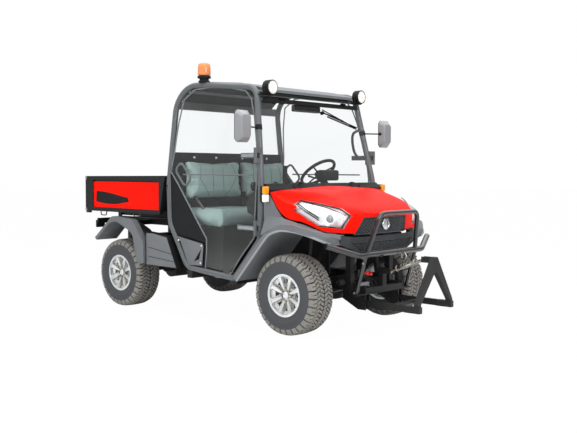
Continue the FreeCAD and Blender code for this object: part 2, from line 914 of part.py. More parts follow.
def cylinder_ears():
    """Ears on the left rail for the lift cylinder's foot, with their pin."""
    inner = "cylinder_y - barrel_radius - moving_gap - bed_wall"
    outer = "cylinder_y + barrel_radius + moving_gap"
    rail_top = "rail_bottom + rail_height - rail_wall"
    rise = "barrel_z + cylinder_eye_radius - rail_bottom - rail_height + rail_wall"
    pieces = [box("barrel_x - post_width / 2", y, rail_top, "post_width", "bed_wall", rise)
              for y in (inner, outer)]
    pieces.append(box("barrel_x - post_width / 2", inner, rail_top + " - rail_wall",
                      "post_width", "%s + bed_wall - %s" % (outer, "(" + inner + ")"),
                      "2 * rail_wall"))
    pieces.append(cylinder("y", "barrel_x", inner, "barrel_z", "cylinder_pin_radius",
                           "%s + bed_wall - (%s)" % (outer, inner)))
    return pieces


def front_posts():
    """Posts and a top bar that carry the fascia, and the struts' towers."""
    pieces = []
    for y in ("rail_inner", "-rail_inner - post_width"):
        pieces.append(box("rail_front - post_width", y, "rail_bottom", "post_width", "post_width",
                          "front_post_top - rail_bottom"))
    pieces.append(box("rail_front - post_width", "-front_bar_half",
                      "front_post_top - front_bar_height", "post_width", "2 * front_bar_half",
                      "front_bar_height"))
    return pieces


def strut_towers():
    """Bridges over the struts, from the rails up and out to the struts' tops."""
    pieces = []
    for y in ("rail_inner", "-rail_inner - tower_thick"):
        pieces.append(box("wheelbase - tower_width / 2", y, "rail_bottom", "tower_width",
                          "tower_thick", "strut_top_z + seat_gap + tower_thick - rail_bottom"))
    for y in ("rail_inner", "-strut_top_y - tower_width / 2"):
        pieces.append(box("wheelbase - tower_width / 2", y, "strut_top_z + seat_gap",
                          "tower_width", "strut_top_y + tower_width / 2 - rail_inner",
                          "tower_thick"))
    return pieces


def receiver():
    """Square receiver tube under the tail, with its cross pin hole."""
    outer = box("receiver_end", "-receiver_outer / 2", "rail_bottom", "receiver_length",
                "receiver_outer", "receiver_outer")
    wall = "(receiver_outer - receiver_inner) / 2"
    bore = box("receiver_end - overrun", "-receiver_inner / 2", "rail_bottom + " + wall,
               "receiver_length - cross_member_width + overrun", "receiver_inner",
               "receiver_inner")
    pin = cylinder("y", "receiver_end + receiver_pin_setback", "-receiver_outer",
                   "rail_bottom + receiver_outer / 2", "receiver_pin_radius",
                   "2 * receiver_outer")
    return outer, bore, pin


def chassis_frame(clearance):
    """Welded chassis with everything that is part of the weldment."""
    outer, bore, pin = receiver()
    pieces = [side_rail("rail_inner"), side_rail("-rail_inner - rail_width"), outer]
    pieces += cross_members() + outriggers() + bed_subframe() + hinge_ears() + front_posts()
    pieces += strut_towers() + brackets() + cylinder_ears()
    return node(cut(fuse(*pieces), bore, pin, clearance), "chassis_frame")


# Cab floor and walls


def floor_line(inset):
    """Side line of floor, toe board and firewall, moved inwards by an inset."""
    floor = d.rail_bottom + d.rail_height + d.seat_gap
    return [(d.floor_back, floor + inset), (d.floor_bend - inset / 2, floor + inset),
            (d.toe_top - inset, d.toe_height + inset / 2), (d.firewall_front - inset,
                                                         d.firewall_bend),
            (d.firewall_front - inset, d.firewall_top)]


def seat_base():
    """Open-bottomed seat base with the board behind the seats."""
    floor = "rail_bottom + rail_height + seat_gap"
    outer = box("seat_base_back", "-seat_base_half", floor, "seat_base_front - seat_base_back",
                "2 * seat_base_half", "seat_base_height")
    inner = box("seat_base_back + seat_base_wall", "seat_base_wall - seat_base_half",
                floor + " - overrun", "seat_base_front - seat_base_back - 2 * seat_base_wall",
                "2 * (seat_base_half - seat_base_wall)",
                "seat_base_height + overrun - seat_base_wall")
    board = box("seat_base_back - seat_support_thick", "-seat_base_half", floor,
                "seat_support_thick", "2 * seat_base_half",
                "seat_base_height + seat_support_height")
    return cut(outer, inner), board


def floor_tub():
    """Floor, toe board, firewall, seat base and seat back board."""
    sheet_line = outline(floor_line(0.0) + floor_line(d.floor_thick)[::-1])
    pan = prism("side", [sheet_line], "0", "2 * floor_half_width", symmetric=True)
    base, board = seat_base()
    return node(fuse(pan, base, board), "floor_tub")


def wall_line(low, high, inset):
    """Outline across the cab between two heights, leaning in with the loops."""
    half = d.loop_half_width
    line = []
    for height in (low, d.lean_height, high):
        if low <= height <= high:
            line.append((half - lean(height) - inset, height))
    if low > d.lean_height:
        line = [(half - lean(low) - inset, low), (half - lean(high) - inset, high)]
    return line + [(-across, up) for across, up in line[::-1]]


def rear_wall(clearance):
    """Wall behind the seats with its top band."""
    wall = prism("front", [outline(wall_line(d.wall_bottom, d.wall_top, 0.0))],
                 "wall_front - wall_thick", "wall_thick")
    band = prism("front", [outline(wall_line(d.wall_top - d.band_height, d.wall_top, 0.0))],
                 "wall_front - wall_thick", "band_depth")
    return node(cut(fuse(wall, band), clearance), "rear_wall")


def rear_pane():
    """Pane over the rear wall."""
    low = d.wall_top + d.seat_gap
    high = d.window_top - d.seat_gap
    return prism("front", [outline(wall_line(low, high, 0.0))],
                 "wall_front - wall_thick + glass_thick", "glass_thick")


def cab_glass(clearance):
    """Rear pane and the sloping windshield in front of the front posts."""
    run = Vector(d.shield_high_x - d.shield_low_x, 0, d.shield_high_z - d.shield_low_z)
    out = Vector(run.z, 0, -run.x).normalize() * d.glass_thick
    corners = [(d.shield_low_x, -d.shield_low_half, d.shield_low_z),
               (d.shield_low_x, d.shield_low_half, d.shield_low_z),
               (d.shield_high_x, d.shield_high_half, d.shield_high_z),
               (d.shield_high_x, -d.shield_high_half, d.shield_high_z)]
    shield = shaped(slab(corners, out))
    return node(cut(group(rear_pane(), shield), clearance), "cab_glass")


ROOF_LINE_SHARES = ((0.0, 0.945), (0.10, 0.990), (0.40, 1.0), (0.72, 0.985), (0.93, 0.960),
                    (1.0, 0.951))


def roof_seat(station, radius):
    """Height of a cross tube's middle when the roof rests on it."""
    span = d.roof_front - d.roof_back
    line = [(d.roof_back + along * span, up * d.roof_top) for along, up in ROOF_LINE_SHARES]
    for (low_x, low_z), (high_x, high_z) in zip(line, line[1:]):
        if low_x <= station <= high_x:
            run = Vector(high_x - low_x, high_z - low_z, 0)
            drop = (radius + d.seat_gap) * run.Length / run.x
            return low_z + (station - low_x) * run.y / run.x - d.roof_thick - drop
    raise ValueError("the tube is not under the roof")


def roof():
    """Roof panel between the loops, crowned along its length, with a tapered front visor."""
    span = d.roof_front - d.roof_back
    top = [(d.roof_back + along * span, up * d.roof_top) for along, up in ROOF_LINE_SHARES]
    under = [(along, up - d.roof_thick) for along, up in top[::-1]]
    panel = prism("side", [outline(top + under)], "0", "2 * roof_half_width", symmetric=True)
    right = [(d.roof_back, -d.roof_half_width), (d.visor_back, -d.roof_half_width),
             (d.roof_front, -d.visor_half_width)]
    plan = prism("top", [outline(right + [(x, -y) for x, y in right[::-1]])], "cab_height",
                 "cab_height")
    return node(common(panel, plan), "roof")


def cowl(clearance):
    """Ledge between the hood's rear edge and the windshield."""
    foot = d.firewall_top + d.seat_gap
    back = d.firewall_front - d.floor_thick
    shelf = d.shield_low_z - d.seat_gap
    line = [(back, foot), (d.cowl_front, foot), (d.cowl_front, d.shield_low_z - d.cowl_edge_drop),
            (d.shield_low_x + d.glass_thick, shelf), (back, shelf)]
    ledge = prism("side", [outline(line)], "0", "2 * cowl_half_width", symmetric=True)
    notches = []
    pins = []
    for side in ("", "-"):
        notches.append(box("hood_hinge_x - hinge_notch", "%shood_hinge_y - hinge_notch / 2" % side,
                           "hood_hinge_z - hinge_notch",
                           "cowl_front - hood_hinge_x + 2 * hinge_notch", "hinge_notch",
                           "4 * hinge_notch"))
        pins.append(cylinder("y", "hood_hinge_x", "%shood_hinge_y - hinge_notch" % side,
                             "hood_hinge_z", "hood_pin_radius", "2 * hinge_notch"))
    return node(fuse(cut(ledge, clearance, *notches), *pins), "cowl")


DASH_SHARES = ((1.0, 1.0), (0.55, 1.0), (0.10, 0.80), (0.0, 0.60), (0.05, 0.32), (0.30, 0.25),
               (0.75, 0.0), (1.0, 0.0))


def dashboard():
    """Moulded dashboard under the windshield."""
    front = d.firewall_front - d.floor_thick - d.seat_gap
    span = front - d.dash_back
    rise = d.dash_top - d.dash_bottom
    line = [(d.dash_back + along * span, d.dash_bottom + up * rise)
            for along, up in DASH_SHARES]
    moulding = prism("side", [outline(line, d.dash_wall)], "0", "2 * dash_half_width",
                     symmetric=True)
    wall = d.dash_wall
    hollow = [(front + wall, d.dash_top - wall), (d.dash_back + span * 0.55, d.dash_top - wall),
              (d.dash_back + 2 * wall, d.dash_bottom + rise * 0.70),
              (d.dash_back + 4 * wall, d.dash_bottom + rise * 0.40),
              (front + wall, d.dash_bottom + 2 * wall)]
    inside = prism("side", [outline(hollow)], "0", "2 * (dash_half_width - dash_wall)",
                   symmetric=True)
    return node(fuse(cut(moulding, inside), steering_column()), "dashboard")


# Seats


def back_pad(label, start, width):
    """Soft seat back, deeper at its foot."""
    rear = d.seat_base_back + d.seat_gap
    corners = [(rear, d.back_bottom, d.pad_round / 2),
               (rear + d.back_depth, d.back_bottom, d.pad_round),
               (rear + d.back_top_depth, d.back_top, d.pad_round),
               (rear, d.back_top, d.pad_round / 2)]
    return node(prism("side", [outline(corners)], start, width), label)


def cushion_pad(label, start, width):
    """Soft seat cushion on the seat base."""
    base = d.rail_bottom + d.rail_height + d.seat_base_height + 2 * d.seat_gap
    rear = d.seat_base_back + d.seat_gap
    corners = [(rear, base, d.pad_round / 2), (rear + d.cushion_length, base, d.pad_round),
               (rear + d.cushion_length, base + d.cushion_height, d.pad_round),
               (rear, base + d.cushion_height, d.pad_round / 2)]
    return node(prism("side", [outline(corners)], start, width), label)


def seats():
    """Wide passenger seat on the right, driver's seat left of the middle."""
    right = "-(seat_right_outer + seat_right_width)"
    left = "-(seat_left_inner + seat_left_width)"
    back_pad("seat_back_right", right, "seat_right_width")
    back_pad("seat_back_left", left, "seat_left_width")
    cushion_pad("seat_cushion_right", right, "seat_right_width")
    cushion_pad("seat_cushion_left", left, "seat_left_width")


# Side panels


HIP_SHARES = ((0.040, 0.5250), (0.0600, 0.5195), (0.4317, 0.1960), (0.4265, 0.1740),
              (0.1120, 0.2140), (0.0300, 0.2980))
SILL_PANEL_SHARES = ((0.1120, 0.2100), (0.4255, 0.1700), (0.4120, 0.0520), (0.2700, 0.0400),
                     (0.2000, 0.0700))
COVER_SHARES = ((-0.2000, 0.2110), (0.0470, 0.1960), (0.1560, 0.0310), (-0.2000, 0.0330))


def side_panels(clearance):
    """Hip panel and sill panel inside each loop, and the cover behind it."""
    pieces = []
    for shares in (HIP_SHARES, SILL_PANEL_SHARES):
        line = [cab(*share) for share in shares]
        panel = prism("side", [outline(line)], "panel_outer - panel_thick", "panel_thick")
        pieces.append(panel)
    line = [cab(*share) for share in COVER_SHARES]
    tray = prism("side", [outline(line)], "cover_inner", "cover_outer - cover_inner")
    middle = [sum(spot[axis] for spot in line) / len(line) for axis in (0, 1)]
    hollow = []
    for along, up in line:
        reach = math.hypot(along - middle[0], up - middle[1])
        share = 1 - 2 * d.panel_thick / reach
        hollow.append((middle[0] + (along - middle[0]) * share, middle[1] + (up - middle[1]) * share))
    inside = prism("side", [outline(hollow)], "cover_inner - overrun",
                   "cover_outer - cover_inner - panel_thick / 2 + overrun")
    pieces.append(cut(tray, inside))
    right = cut(group(*pieces), clearance)
    return node(both_sides(right), "side_panels")


# Doors


DOOR_SHARES = ((0.0624, 0.5225, 0.012), (0.4368, 0.1986, 0.025), (0.4171, 0.0535, 0.010),
               (0.6641, 0.0395, 0.012), (0.9026, 0.2283, 0.025), (0.9162, 0.4960, 0.180),
               (0.8120, 0.9278, 0.062), (0.4085, 0.9600, 0.250), (0.0640, 0.9640, 0.110))


def side_sheet(outer, thick):
    """Bent sheet that follows the cab's side, as a section across the vehicle."""
    top = d.sill_height + d.cab_height
    low = d.sill_height - d.overrun
    line = [(-outer, low), (-outer, d.lean_height), (-outer + lean(top), top),
            (-outer + thick + lean(top), top), (-outer + thick, d.lean_height),
            (-outer + thick, low)]
    return prism("front", [outline(line)], "cab_back - overrun", "cab_length + 2 * overrun")


def door_pane():
    """Right door's pane, cut from the bent side sheet."""
    corners = [cab(*share[:2]) + (share[2] * d.cab_height,) for share in DOOR_SHARES]
    shape = prism("side", [outline(corners)], "door_glass_outer / 2", "door_glass_outer")
    return common(shape, side_sheet(d.door_glass_outer, d.glass_thick))


def hinge_arm(height, tip):
    """Cranked strap from the hinge boss to the pane, seen from above."""
    face = -(d.door_glass_outer - lean(height - d.hinge_arm_height / 2)) - d.seat_gap
    outer = face - d.hinge_arm_thick
    elbow = d.hinge_x - d.hinge_boss_radius * 4
    line = [(tip, face), (elbow, face), (d.hinge_x, -d.hinge_y + d.hinge_arm_thick / 2),
            (d.hinge_x, -d.hinge_y - d.hinge_arm_thick / 2), (elbow, outer), (tip, outer)]
    low = "%s - hinge_arm_height / 2" % ("upper_hinge_z" if height > d.lean_height
                                         else "lower_hinge_z")
    return prism("top", [outline(line)], low, "hinge_arm_height")


def door_hinge(height, tip, name):
    """Strap with its boss round the hinge pin."""
    boss = cylinder("z", "hinge_x", "-hinge_y", "%s - hinge_arm_height / 2" % name,
                    "hinge_boss_radius", "hinge_arm_height")
    bore = cylinder("z", "hinge_x", "-hinge_y", "%s - hinge_height" % name,
                    "hinge_pin_radius + running_gap", "2 * hinge_height")
    return cut(fuse(hinge_arm(height, tip), boss), bore)


def door_pull():
    """Oval pull inside the pane with its rod to the front."""
    y = -(d.door_glass_outer - d.glass_thick - d.pull_tube_radius - d.seat_gap)
    y += lean(d.pull_z + d.pull_length / 2)
    half_long = d.pull_length / 2
    half_wide = d.pull_width / 2
    bend = half_wide * PULL_ROUND_SHARE
    tilt = math.radians(PULL_TILT_DEG)
    corners = []
    for along, across in ((-1, -1), (1, -1), (1, 1), (-1, 1)):
        run = along * half_long * math.cos(tilt) - across * half_wide * math.sin(tilt)
        rise = along * half_long * math.sin(tilt) + across * half_wide * math.cos(tilt)
        corners.append((d.pull_x + run, y, d.pull_z + rise, bend))
    middle = tuple((a + b) / 2 for a, b in zip(corners[0], corners[1]))[:3] + (0.0,)
    first = [middle, corners[1], corners[2]]
    far = tuple((a + b) / 2 for a, b in zip(corners[2], corners[3]))[:3] + (0.0,)
    one = pipe(first + [far], d.pull_tube_radius)
    two = pipe([far, corners[3], corners[0], middle], d.pull_tube_radius)
    front = d.hinge_x - d.pull_width
    bar = rod((d.pull_x, y, d.pull_z), (front, y, d.pull_z), d.latch_rod_radius)
    return shaped(one.fuse([two, bar]))


PULL_ROUND_SHARE = 0.75
PULL_TILT_DEG = -48.0


def doors():
    """Both doors, each a pane with its hinge straps and inner pull."""
    pane = door_pane()
    upper = door_hinge(d.upper_hinge_z, d.upper_arm_tip, "upper_hinge_z")
    lower = door_hinge(d.lower_hinge_z, d.lower_arm_tip, "lower_hinge_z")
    hardware = group(upper, lower, door_pull())
    node(mirrored(pane), "door_glass_left")
    node(mirrored(hardware), "door_hardware_left")
    node(group(pane), "door_glass_right")
    node(group(hardware), "door_hardware_right")


def hinge_block(name):
    """Block on the front post with the pin that a door's boss turns on."""
    height = getattr(d, name)
    post = cab_station(height)
    inner = d.loop_half_width + d.loop_tube_radius - lean(height)
    line = [(post - d.loop_tube_radius, -inner + d.loop_tube_radius),
            (post + d.loop_tube_radius, -inner + d.loop_tube_radius),
            (d.hinge_x + d.hinge_boss_radius, -d.hinge_y),
            (d.hinge_x - d.hinge_boss_radius, -d.hinge_y)]
    pieces = []
    for start in ("%s + hinge_arm_height / 2 + running_gap", "%s - hinge_height"):
        pieces.append(prism("top", [outline(line)], start % name,
                            "hinge_height - hinge_arm_height / 2 - running_gap"))
        pieces.append(cylinder("z", "hinge_x", "-hinge_y", start % name, "hinge_boss_radius",
                               "hinge_height - hinge_arm_height / 2 - running_gap"))
    pieces.append(cylinder("z", "hinge_x", "-hinge_y", "%s - hinge_height" % name,
                           "hinge_pin_radius", "2 * hinge_height"))
    return fuse(*pieces)


def cab_station(height):
    """Station of the front post's centre line at a height."""
    foot = cab(*FRONT_LOOP_SHARES[2][:2])
    head = cab(*FRONT_LOOP_SHARES[3][:2])
    share = max(0.0, (height - foot[1]) / (head[1] - foot[1]))
    return foot[0] + share * (head[0] - foot[0])


# Hood, lamps and grille


# Each hood section: share of length, then (share of half width, share of drop) from side to middle
HOOD_SECTION_SHARES = (
    (0.000, ((1.000, 0.130), (0.990, 0.110), (0.800, 0.070), (0.560, 0.052), (0.0, 0.0))),
    (0.100, ((0.998, 0.370), (0.988, 0.200), (0.800, 0.112), (0.560, 0.062), (0.0, 0.020))),
    (0.210, ((0.993, 0.560), (0.982, 0.290), (0.800, 0.160), (0.560, 0.075), (0.0, 0.045))),
    (0.480, ((0.955, 0.690), (0.945, 0.420), (0.760, 0.270), (0.520, 0.175), (0.0, 0.140))),
    (0.740, ((0.880, 0.850), (0.860, 0.540), (0.680, 0.400), (0.450, 0.330), (0.0, 0.300))),
    (0.920, ((0.650, 0.975), (0.635, 0.620), (0.520, 0.530), (0.390, 0.470), (0.0, 0.440))),
    (1.020, ((0.470, 1.000), (0.445, 0.730), (0.380, 0.635), (0.320, 0.585), (0.0, 0.560))),
)


def hood_section(section, inset):
    """Closed wire across the hood, open side down, moved in by an inset."""
    along, spots = section
    station = d.hood_back + along * d.hood_length
    right = []
    for across, drop in spots:
        y = across * d.hood_half_width - (inset if across else 0.0)
        right.append(Vector(station, -y, d.hood_top - drop * d.hood_drop - inset))
    right[0].z = d.hood_top - spots[0][1] * d.hood_drop - 2 * abs(inset)
    left = [Vector(spot.x, -spot.y, spot.z) for spot in right]
    foot, crease, panel, shoulder, middle = right
    other_foot, other_crease, other_panel, other_shoulder, _ = left
    edges = [Part.LineSegment(foot, crease), Part.Arc(crease, panel, shoulder),
             Part.Arc(shoulder, middle, other_shoulder),
             Part.Arc(other_shoulder, other_panel, other_crease),
             Part.LineSegment(other_crease, other_foot), Part.LineSegment(other_foot, foot)]
    return Part.Wire([edge.toShape() for edge in edges])


def hood_solid(inset):
    """Full form of the hood, moved in by an inset."""
    return Part.makeLoft([hood_section(section, inset) for section in HOOD_SECTION_SHARES], True)


def nose_solid(inset):
    """Room behind the raked, bowed face of hood and grille, moved back by an inset."""
    lean_back = (d.grille_high_x - d.grille_low_x) / (d.grille_high_z - d.grille_low_z)
    rise = d.hood_top + d.hood_thick - d.fascia_bottom
    front = d.nose_low - lean_back * (d.grille_low_z - d.fascia_bottom) - inset
    reach = d.fender_outer
    side = front - d.nose_radius + math.sqrt(d.nose_radius ** 2 - reach ** 2)
    back = d.hood_back - rise
    corners = [Vector(side, reach, d.fascia_bottom), Vector(back, reach, d.fascia_bottom),
               Vector(back, -reach, d.fascia_bottom), Vector(side, -reach, d.fascia_bottom)]
    edges = [Part.Arc(corners[3], Vector(front, 0, d.fascia_bottom), corners[0])]
    edges += [Part.LineSegment(one, two) for one, two in zip(corners, corners[1:])]
    face = Part.Face(Part.Wire([edge.toShape() for edge in edges]))
    return face.extrude(Vector(lean_back * rise, 0, rise))


def grille_window(grow):
    """Prism through the upper grille's outline, seen from the front, grown by an amount."""
    low = d.grille_low_z - grow
    high = d.grille_high_z + grow
    corners = [(d.hood_back, -d.grille_low_half - grow, low),
               (d.hood_back, d.grille_low_half + grow, low),
               (d.hood_back, d.grille_high_half + grow, high),
               (d.hood_back, -d.grille_high_half - grow, high)]
    return slab(corners, (2 * d.hood_length, 0, 0))


LAMP_SHARES = ((0.940, 0.290), (0.965, 0.470), (0.930, 0.675), (0.885, 0.790), (0.625, 0.845),
               (0.555, 0.575), (0.605, 0.430), (0.840, 0.250))
LAMP_START_SHARE = 0.34


def lamp_tool(grow):
    """Prism through the right lamp's outline, seen from the front."""
    middle_y = sum(spot[0] for spot in LAMP_SHARES) / len(LAMP_SHARES)
    middle_z = sum(spot[1] for spot in LAMP_SHARES) / len(LAMP_SHARES)
    corners = []
    for across, drop in LAMP_SHARES:
        wide = (across - middle_y) * d.hood_half_width
        tall = (drop - middle_z) * d.hood_drop
        scale = 1 + grow / math.hypot(wide, tall)
        corners.append((0.0, -(middle_y * d.hood_half_width + wide * scale),
                        d.hood_top - middle_z * d.hood_drop - tall * scale))
    start = d.hood_back + LAMP_START_SHARE * d.hood_length
    spots = [(start, y, z) for _, y, z in corners]
    return slab(spots, (d.hood_length, 0, 0))


def hood_parts():
    """Hood skin and the headlamps that fill its corners."""
    outer = hood_solid(0.0).common(nose_solid(0.0))
    inner = hood_solid(d.hood_thick).common(nose_solid(d.hood_thick))
    openings = [lamp_tool(d.seat_gap)]
    openings.append(openings[0].mirror(Vector(), Vector(0, 1, 0)))
    openings.append(grille_window(d.seat_gap))
    skin = outer.cut(inner).cut(Part.makeCompound(openings))
    deeper = hood_solid(d.lamp_depth).common(nose_solid(d.lamp_depth))
    lens = lamp_tool(0.0).common(outer).cut(deeper)
    lenses = Part.makeCompound([lens, lens.mirror(Vector(), Vector(0, 1, 0))])
    return skin, lenses


def hood_lugs():
    """Lugs from the skin's rear edge to the hinge pins in the cowl."""
    half = d.hinge_notch / 2
    lugs = []
    for side in (-1, 1):
        y = side * d.hood_hinge_y
        lug = Part.makeBox(d.hood_back + half - d.hood_hinge_x + half, half,
                           2 * half + d.hood_thick / 2,
                           Vector(d.hood_hinge_x - half, y - half / 2, d.hood_hinge_z - half))
        pin = rod((d.hood_hinge_x, y - half, d.hood_hinge_z),
                  (d.hood_hinge_x, y + half, d.hood_hinge_z), d.hood_pin_radius + d.running_gap)
        lugs.append(lug.cut(pin))
    return lugs


def hood():
    """Red hood skin and its headlamps as two sub-parts."""
    skin, lenses = hood_parts()
    node(shaped(skin.fuse(hood_lugs())), "hood_shell")
    node(shaped(lenses), "headlamps")


def grille():
    """Upper grille plate between the lamps, bowed and raked like the nose."""
    plate = nose_solid(d.mesh_inset).cut(nose_solid(d.mesh_inset + d.grille_thick))
    return node(shaped(plate.common(grille_window(0.0))), "grille")


# Fascia: plan as shares of depth and half width, then face and mesh window as shares across and up
FASCIA_SHARES = ((0.0, 1.0), (0.45, 1.0), (0.78, 0.836), (0.93, 0.50), (1.0, 0.20), (1.0, 0.0))
FASCIA_FACE_SHARES = ((1.0, 0.52), (1.0, 1.0), (0.71, 0.887))
FASCIA_FOOT_SHARES = ((0.61, 0.0),)
MESH_WINDOW_SHARES = ((0.62, 0.085), (0.85, 0.62))


def fascia_line(inset):
    """Right half of the fascia's plan, from its end to the middle."""
    back = d.fascia_front - d.fascia_depth
    return [(back + along * d.fascia_depth - inset, -across * (d.fascia_half_width - inset))
            for along, across in FASCIA_SHARES]


def fascia_band(inset):
    """Upright band from the fascia's front face back to an inset."""
    outer = fascia_line(0.0)
    inner = fascia_line(inset)
    half = outer + [(x, -y) for x, y in outer[-2::-1]]
    back = inner + [(x, -y) for x, y in inner[-2::-1]]
    return prism("top", [outline(half + back[::-1])], "fascia_bottom", "fascia_height")


def fascia_face(shares):
    """Prism through a symmetric outline on the fascia, seen from the front."""
    right = [(across * d.fascia_half_width, d.fascia_bottom + up * d.fascia_height)
             for across, up in shares]
    left = [(-across, up) for across, up in right[::-1]]
    return prism("front", [outline(right + left)], "fascia_front - 2 * fascia_depth",
                 "3 * fascia_depth")


def front_fascia():
    """Bumper cover across the front, with the recess of the lower grille."""
    cover = common(fascia_band(d.fascia_thick),
                   fascia_face(FASCIA_FOOT_SHARES + FASCIA_FACE_SHARES))
    recess = common(fascia_band(d.fascia_border), fascia_face(MESH_WINDOW_SHARES))
    return node(cut(cover, recess), "front_fascia")


# Fenders


# Arch edges, as shares of the tyre's radius from the axle: forward, up, bend
FRONT_ARCH_SHARES = ((1.135, 1.252, 0.0), (1.068, 1.355, 0.32), (0.877, 1.490, 0.48),
                     (0.529, 1.590, 0.90), (0.010, 1.613, 0.80), (-0.377, 1.452, 0.65),
                     (-1.448, 0.239, 0.0))
FRONT_FLARE_SHARES = ((1.145, 1.390, 0.0), (1.061, 1.500, 0.32), (0.861, 1.639, 0.48),
                      (0.452, 1.752, 0.90), (-0.019, 1.729, 0.80), (-0.452, 1.535, 0.65),
                      (-1.545, 0.323, 0.0))
REAR_ARCH_SHARES = ((1.090, 0.413, 0.0), (0.868, 1.232, 0.35), (0.110, 1.542, 0.45),
                    (-0.194, 1.500, 0.45), (-0.871, 0.935, 0.0))
REAR_FLARE_SHARES = ((-0.955, 1.006, 0.0), (-0.097, 1.684, 0.22), (0.871, 1.619, 0.22),
                     (1.371, 0.990, 0.22), (1.387, 0.403, 0.0))
# Plan of the front flare's outside: tyre radii ahead of the axle, share of its distance out, bend
FLARE_PLAN_SHARES = ((-1.60, 1.00, 0.0), (0.75, 1.00, 0.50), (1.08, 0.83, 0.50),
                     (1.17, 0.64, 0.0))
# Apron beside the hood: share of hood length, outer width and drop shares, inner ones
APRON_SHARES = ((-0.080, 1.000, 0.985, 1.000, 0.600), (0.210, 1.000, 0.790, 0.995, 0.600),
                (0.420, 1.000, 0.755, 0.960, 0.700), (0.740, 0.925, 0.870, 0.880, 0.870),
                (0.840, 0.765, 0.980, 0.730, 0.945), (0.876, 0.650, 1.040, 0.640, 0.970))


def arch(shares, station):
    """Corners of an arch's edge with their bends, given in shares of the tyre's radius."""
    radius = d.tyre_diameter / 2
    return [(station + along * radius, radius + up * radius, bend * radius)
            for along, up, bend in shares]


def band(points, width):
    """Closed outline of a strip to the left of an open line of (along, up, bend) corners."""
    spots = [Vector(along, up, 0) for along, up, _ in points]
    runs = [(after - before).normalize() for before, after in zip(spots, spots[1:])]
    offsets = []
    for index, spot in enumerate(spots):
        before = runs[max(index - 1, 0)]
        after = runs[min(index, len(runs) - 1)]
        side = Vector(-before.y - after.y, before.x + after.x, 0).normalize()
        reach = width / side.dot(Vector(-after.y, after.x, 0))
        bend = points[index][2]
        if bend:
            bend -= math.copysign(width, before.cross(after).z)
        moved = spot + side * reach
        offsets.append((moved.x, moved.y, bend))
    return list(points) + offsets[::-1]


def apron():
    """Skin from the front flare's top edge up to the hood's foot."""
    sections = []
    for along, out, outer_drop, across, drop in APRON_SHARES:
        station = d.hood_back + along * d.hood_length
        outer_z = d.hood_top - outer_drop * d.hood_drop
        inner_z = d.hood_top - drop * d.hood_drop
        outer_y = -out * (d.fender_outer - d.fender_skin)
        inner_y = -across * d.hood_half_width
        sections.append([(station, outer_y, outer_z), (station, inner_y, inner_z),
                         (station, inner_y, inner_z - d.fender_skin),
                         (station, outer_y, outer_z - d.fender_skin)])
    return shaped(loft(sections))


CHEEK_SHARES = ((-0.120, 0.180), (-0.010, 0.180), (0.190, 0.590), (-0.080, 0.640),
                (-0.120, 0.980))


def flare_plan():
    """Right flare's outside line seen from above, swept in to the fascia's corner."""
    radius = d.tyre_diameter / 2
    return [(d.wheelbase + along * radius, -across * d.fender_outer, bend * radius)
            for along, across, bend in FLARE_PLAN_SHARES]


def front_fenders():
    """Flare with its liner over each front wheel, the apron and the cheek by the post."""
    edge = arch(FRONT_ARCH_SHARES, d.wheelbase)[::-1]
    plan = flare_plan()
    behind = [(plan[-1][0], 0.0), (plan[0][0], 0.0)]
    under = prism("top", [outline(plan + behind)], "0", "hood_top")
    shell = prism("top", [outline(band(plan, d.fender_outer - d.flare_inner))], "0", "hood_top")
    liner = prism("side", [outline(band(edge, d.fender_skin))], "liner_inner",
                  "liner_outer - liner_inner")
    flare = prism("side", [outline(edge + arch(FRONT_FLARE_SHARES, d.wheelbase))],
                  "liner_inner", "fender_outer - liner_inner")
    corners = [(d.hood_back + along * d.hood_length, d.hood_top - drop * d.hood_drop)
               for along, drop in CHEEK_SHARES]
    cheek = prism("side", [outline(corners)], "cheek_outer - fender_skin", "fender_skin")
    right = fuse(common(liner, under), common(flare, shell), apron(), cheek)
    hood_room = shaped(hood_solid(-d.hood_gap).common(nose_solid(-d.hood_gap)))
    fascia_room = box("fascia_front - fascia_depth - fascia_thick - seat_gap",
                      "-fascia_half_width - seat_gap",
                      "fascia_bottom", "2 * fascia_depth", "fascia_half_width + seat_gap",
                      "fascia_height + seat_gap")
    return node(both_sides(cut(right, hood_room, fascia_room)), "front_fenders")


def rear_fenders():
    """Flare with its liner over each rear wheel."""
    edge = arch(REAR_ARCH_SHARES, 0.0)
    liner = prism("side", [outline(band(edge[::-1], d.fender_skin))], "rear_liner_inner",
                  "fender_outer - rear_liner_inner")
    face = prism("side", [outline(edge + arch(REAR_FLARE_SHARES, 0.0))], "flare_inner",
                 "fender_outer - flare_inner")
    return node(both_sides(fuse(liner, face)), "rear_fenders")


# Brush guard and front hitch


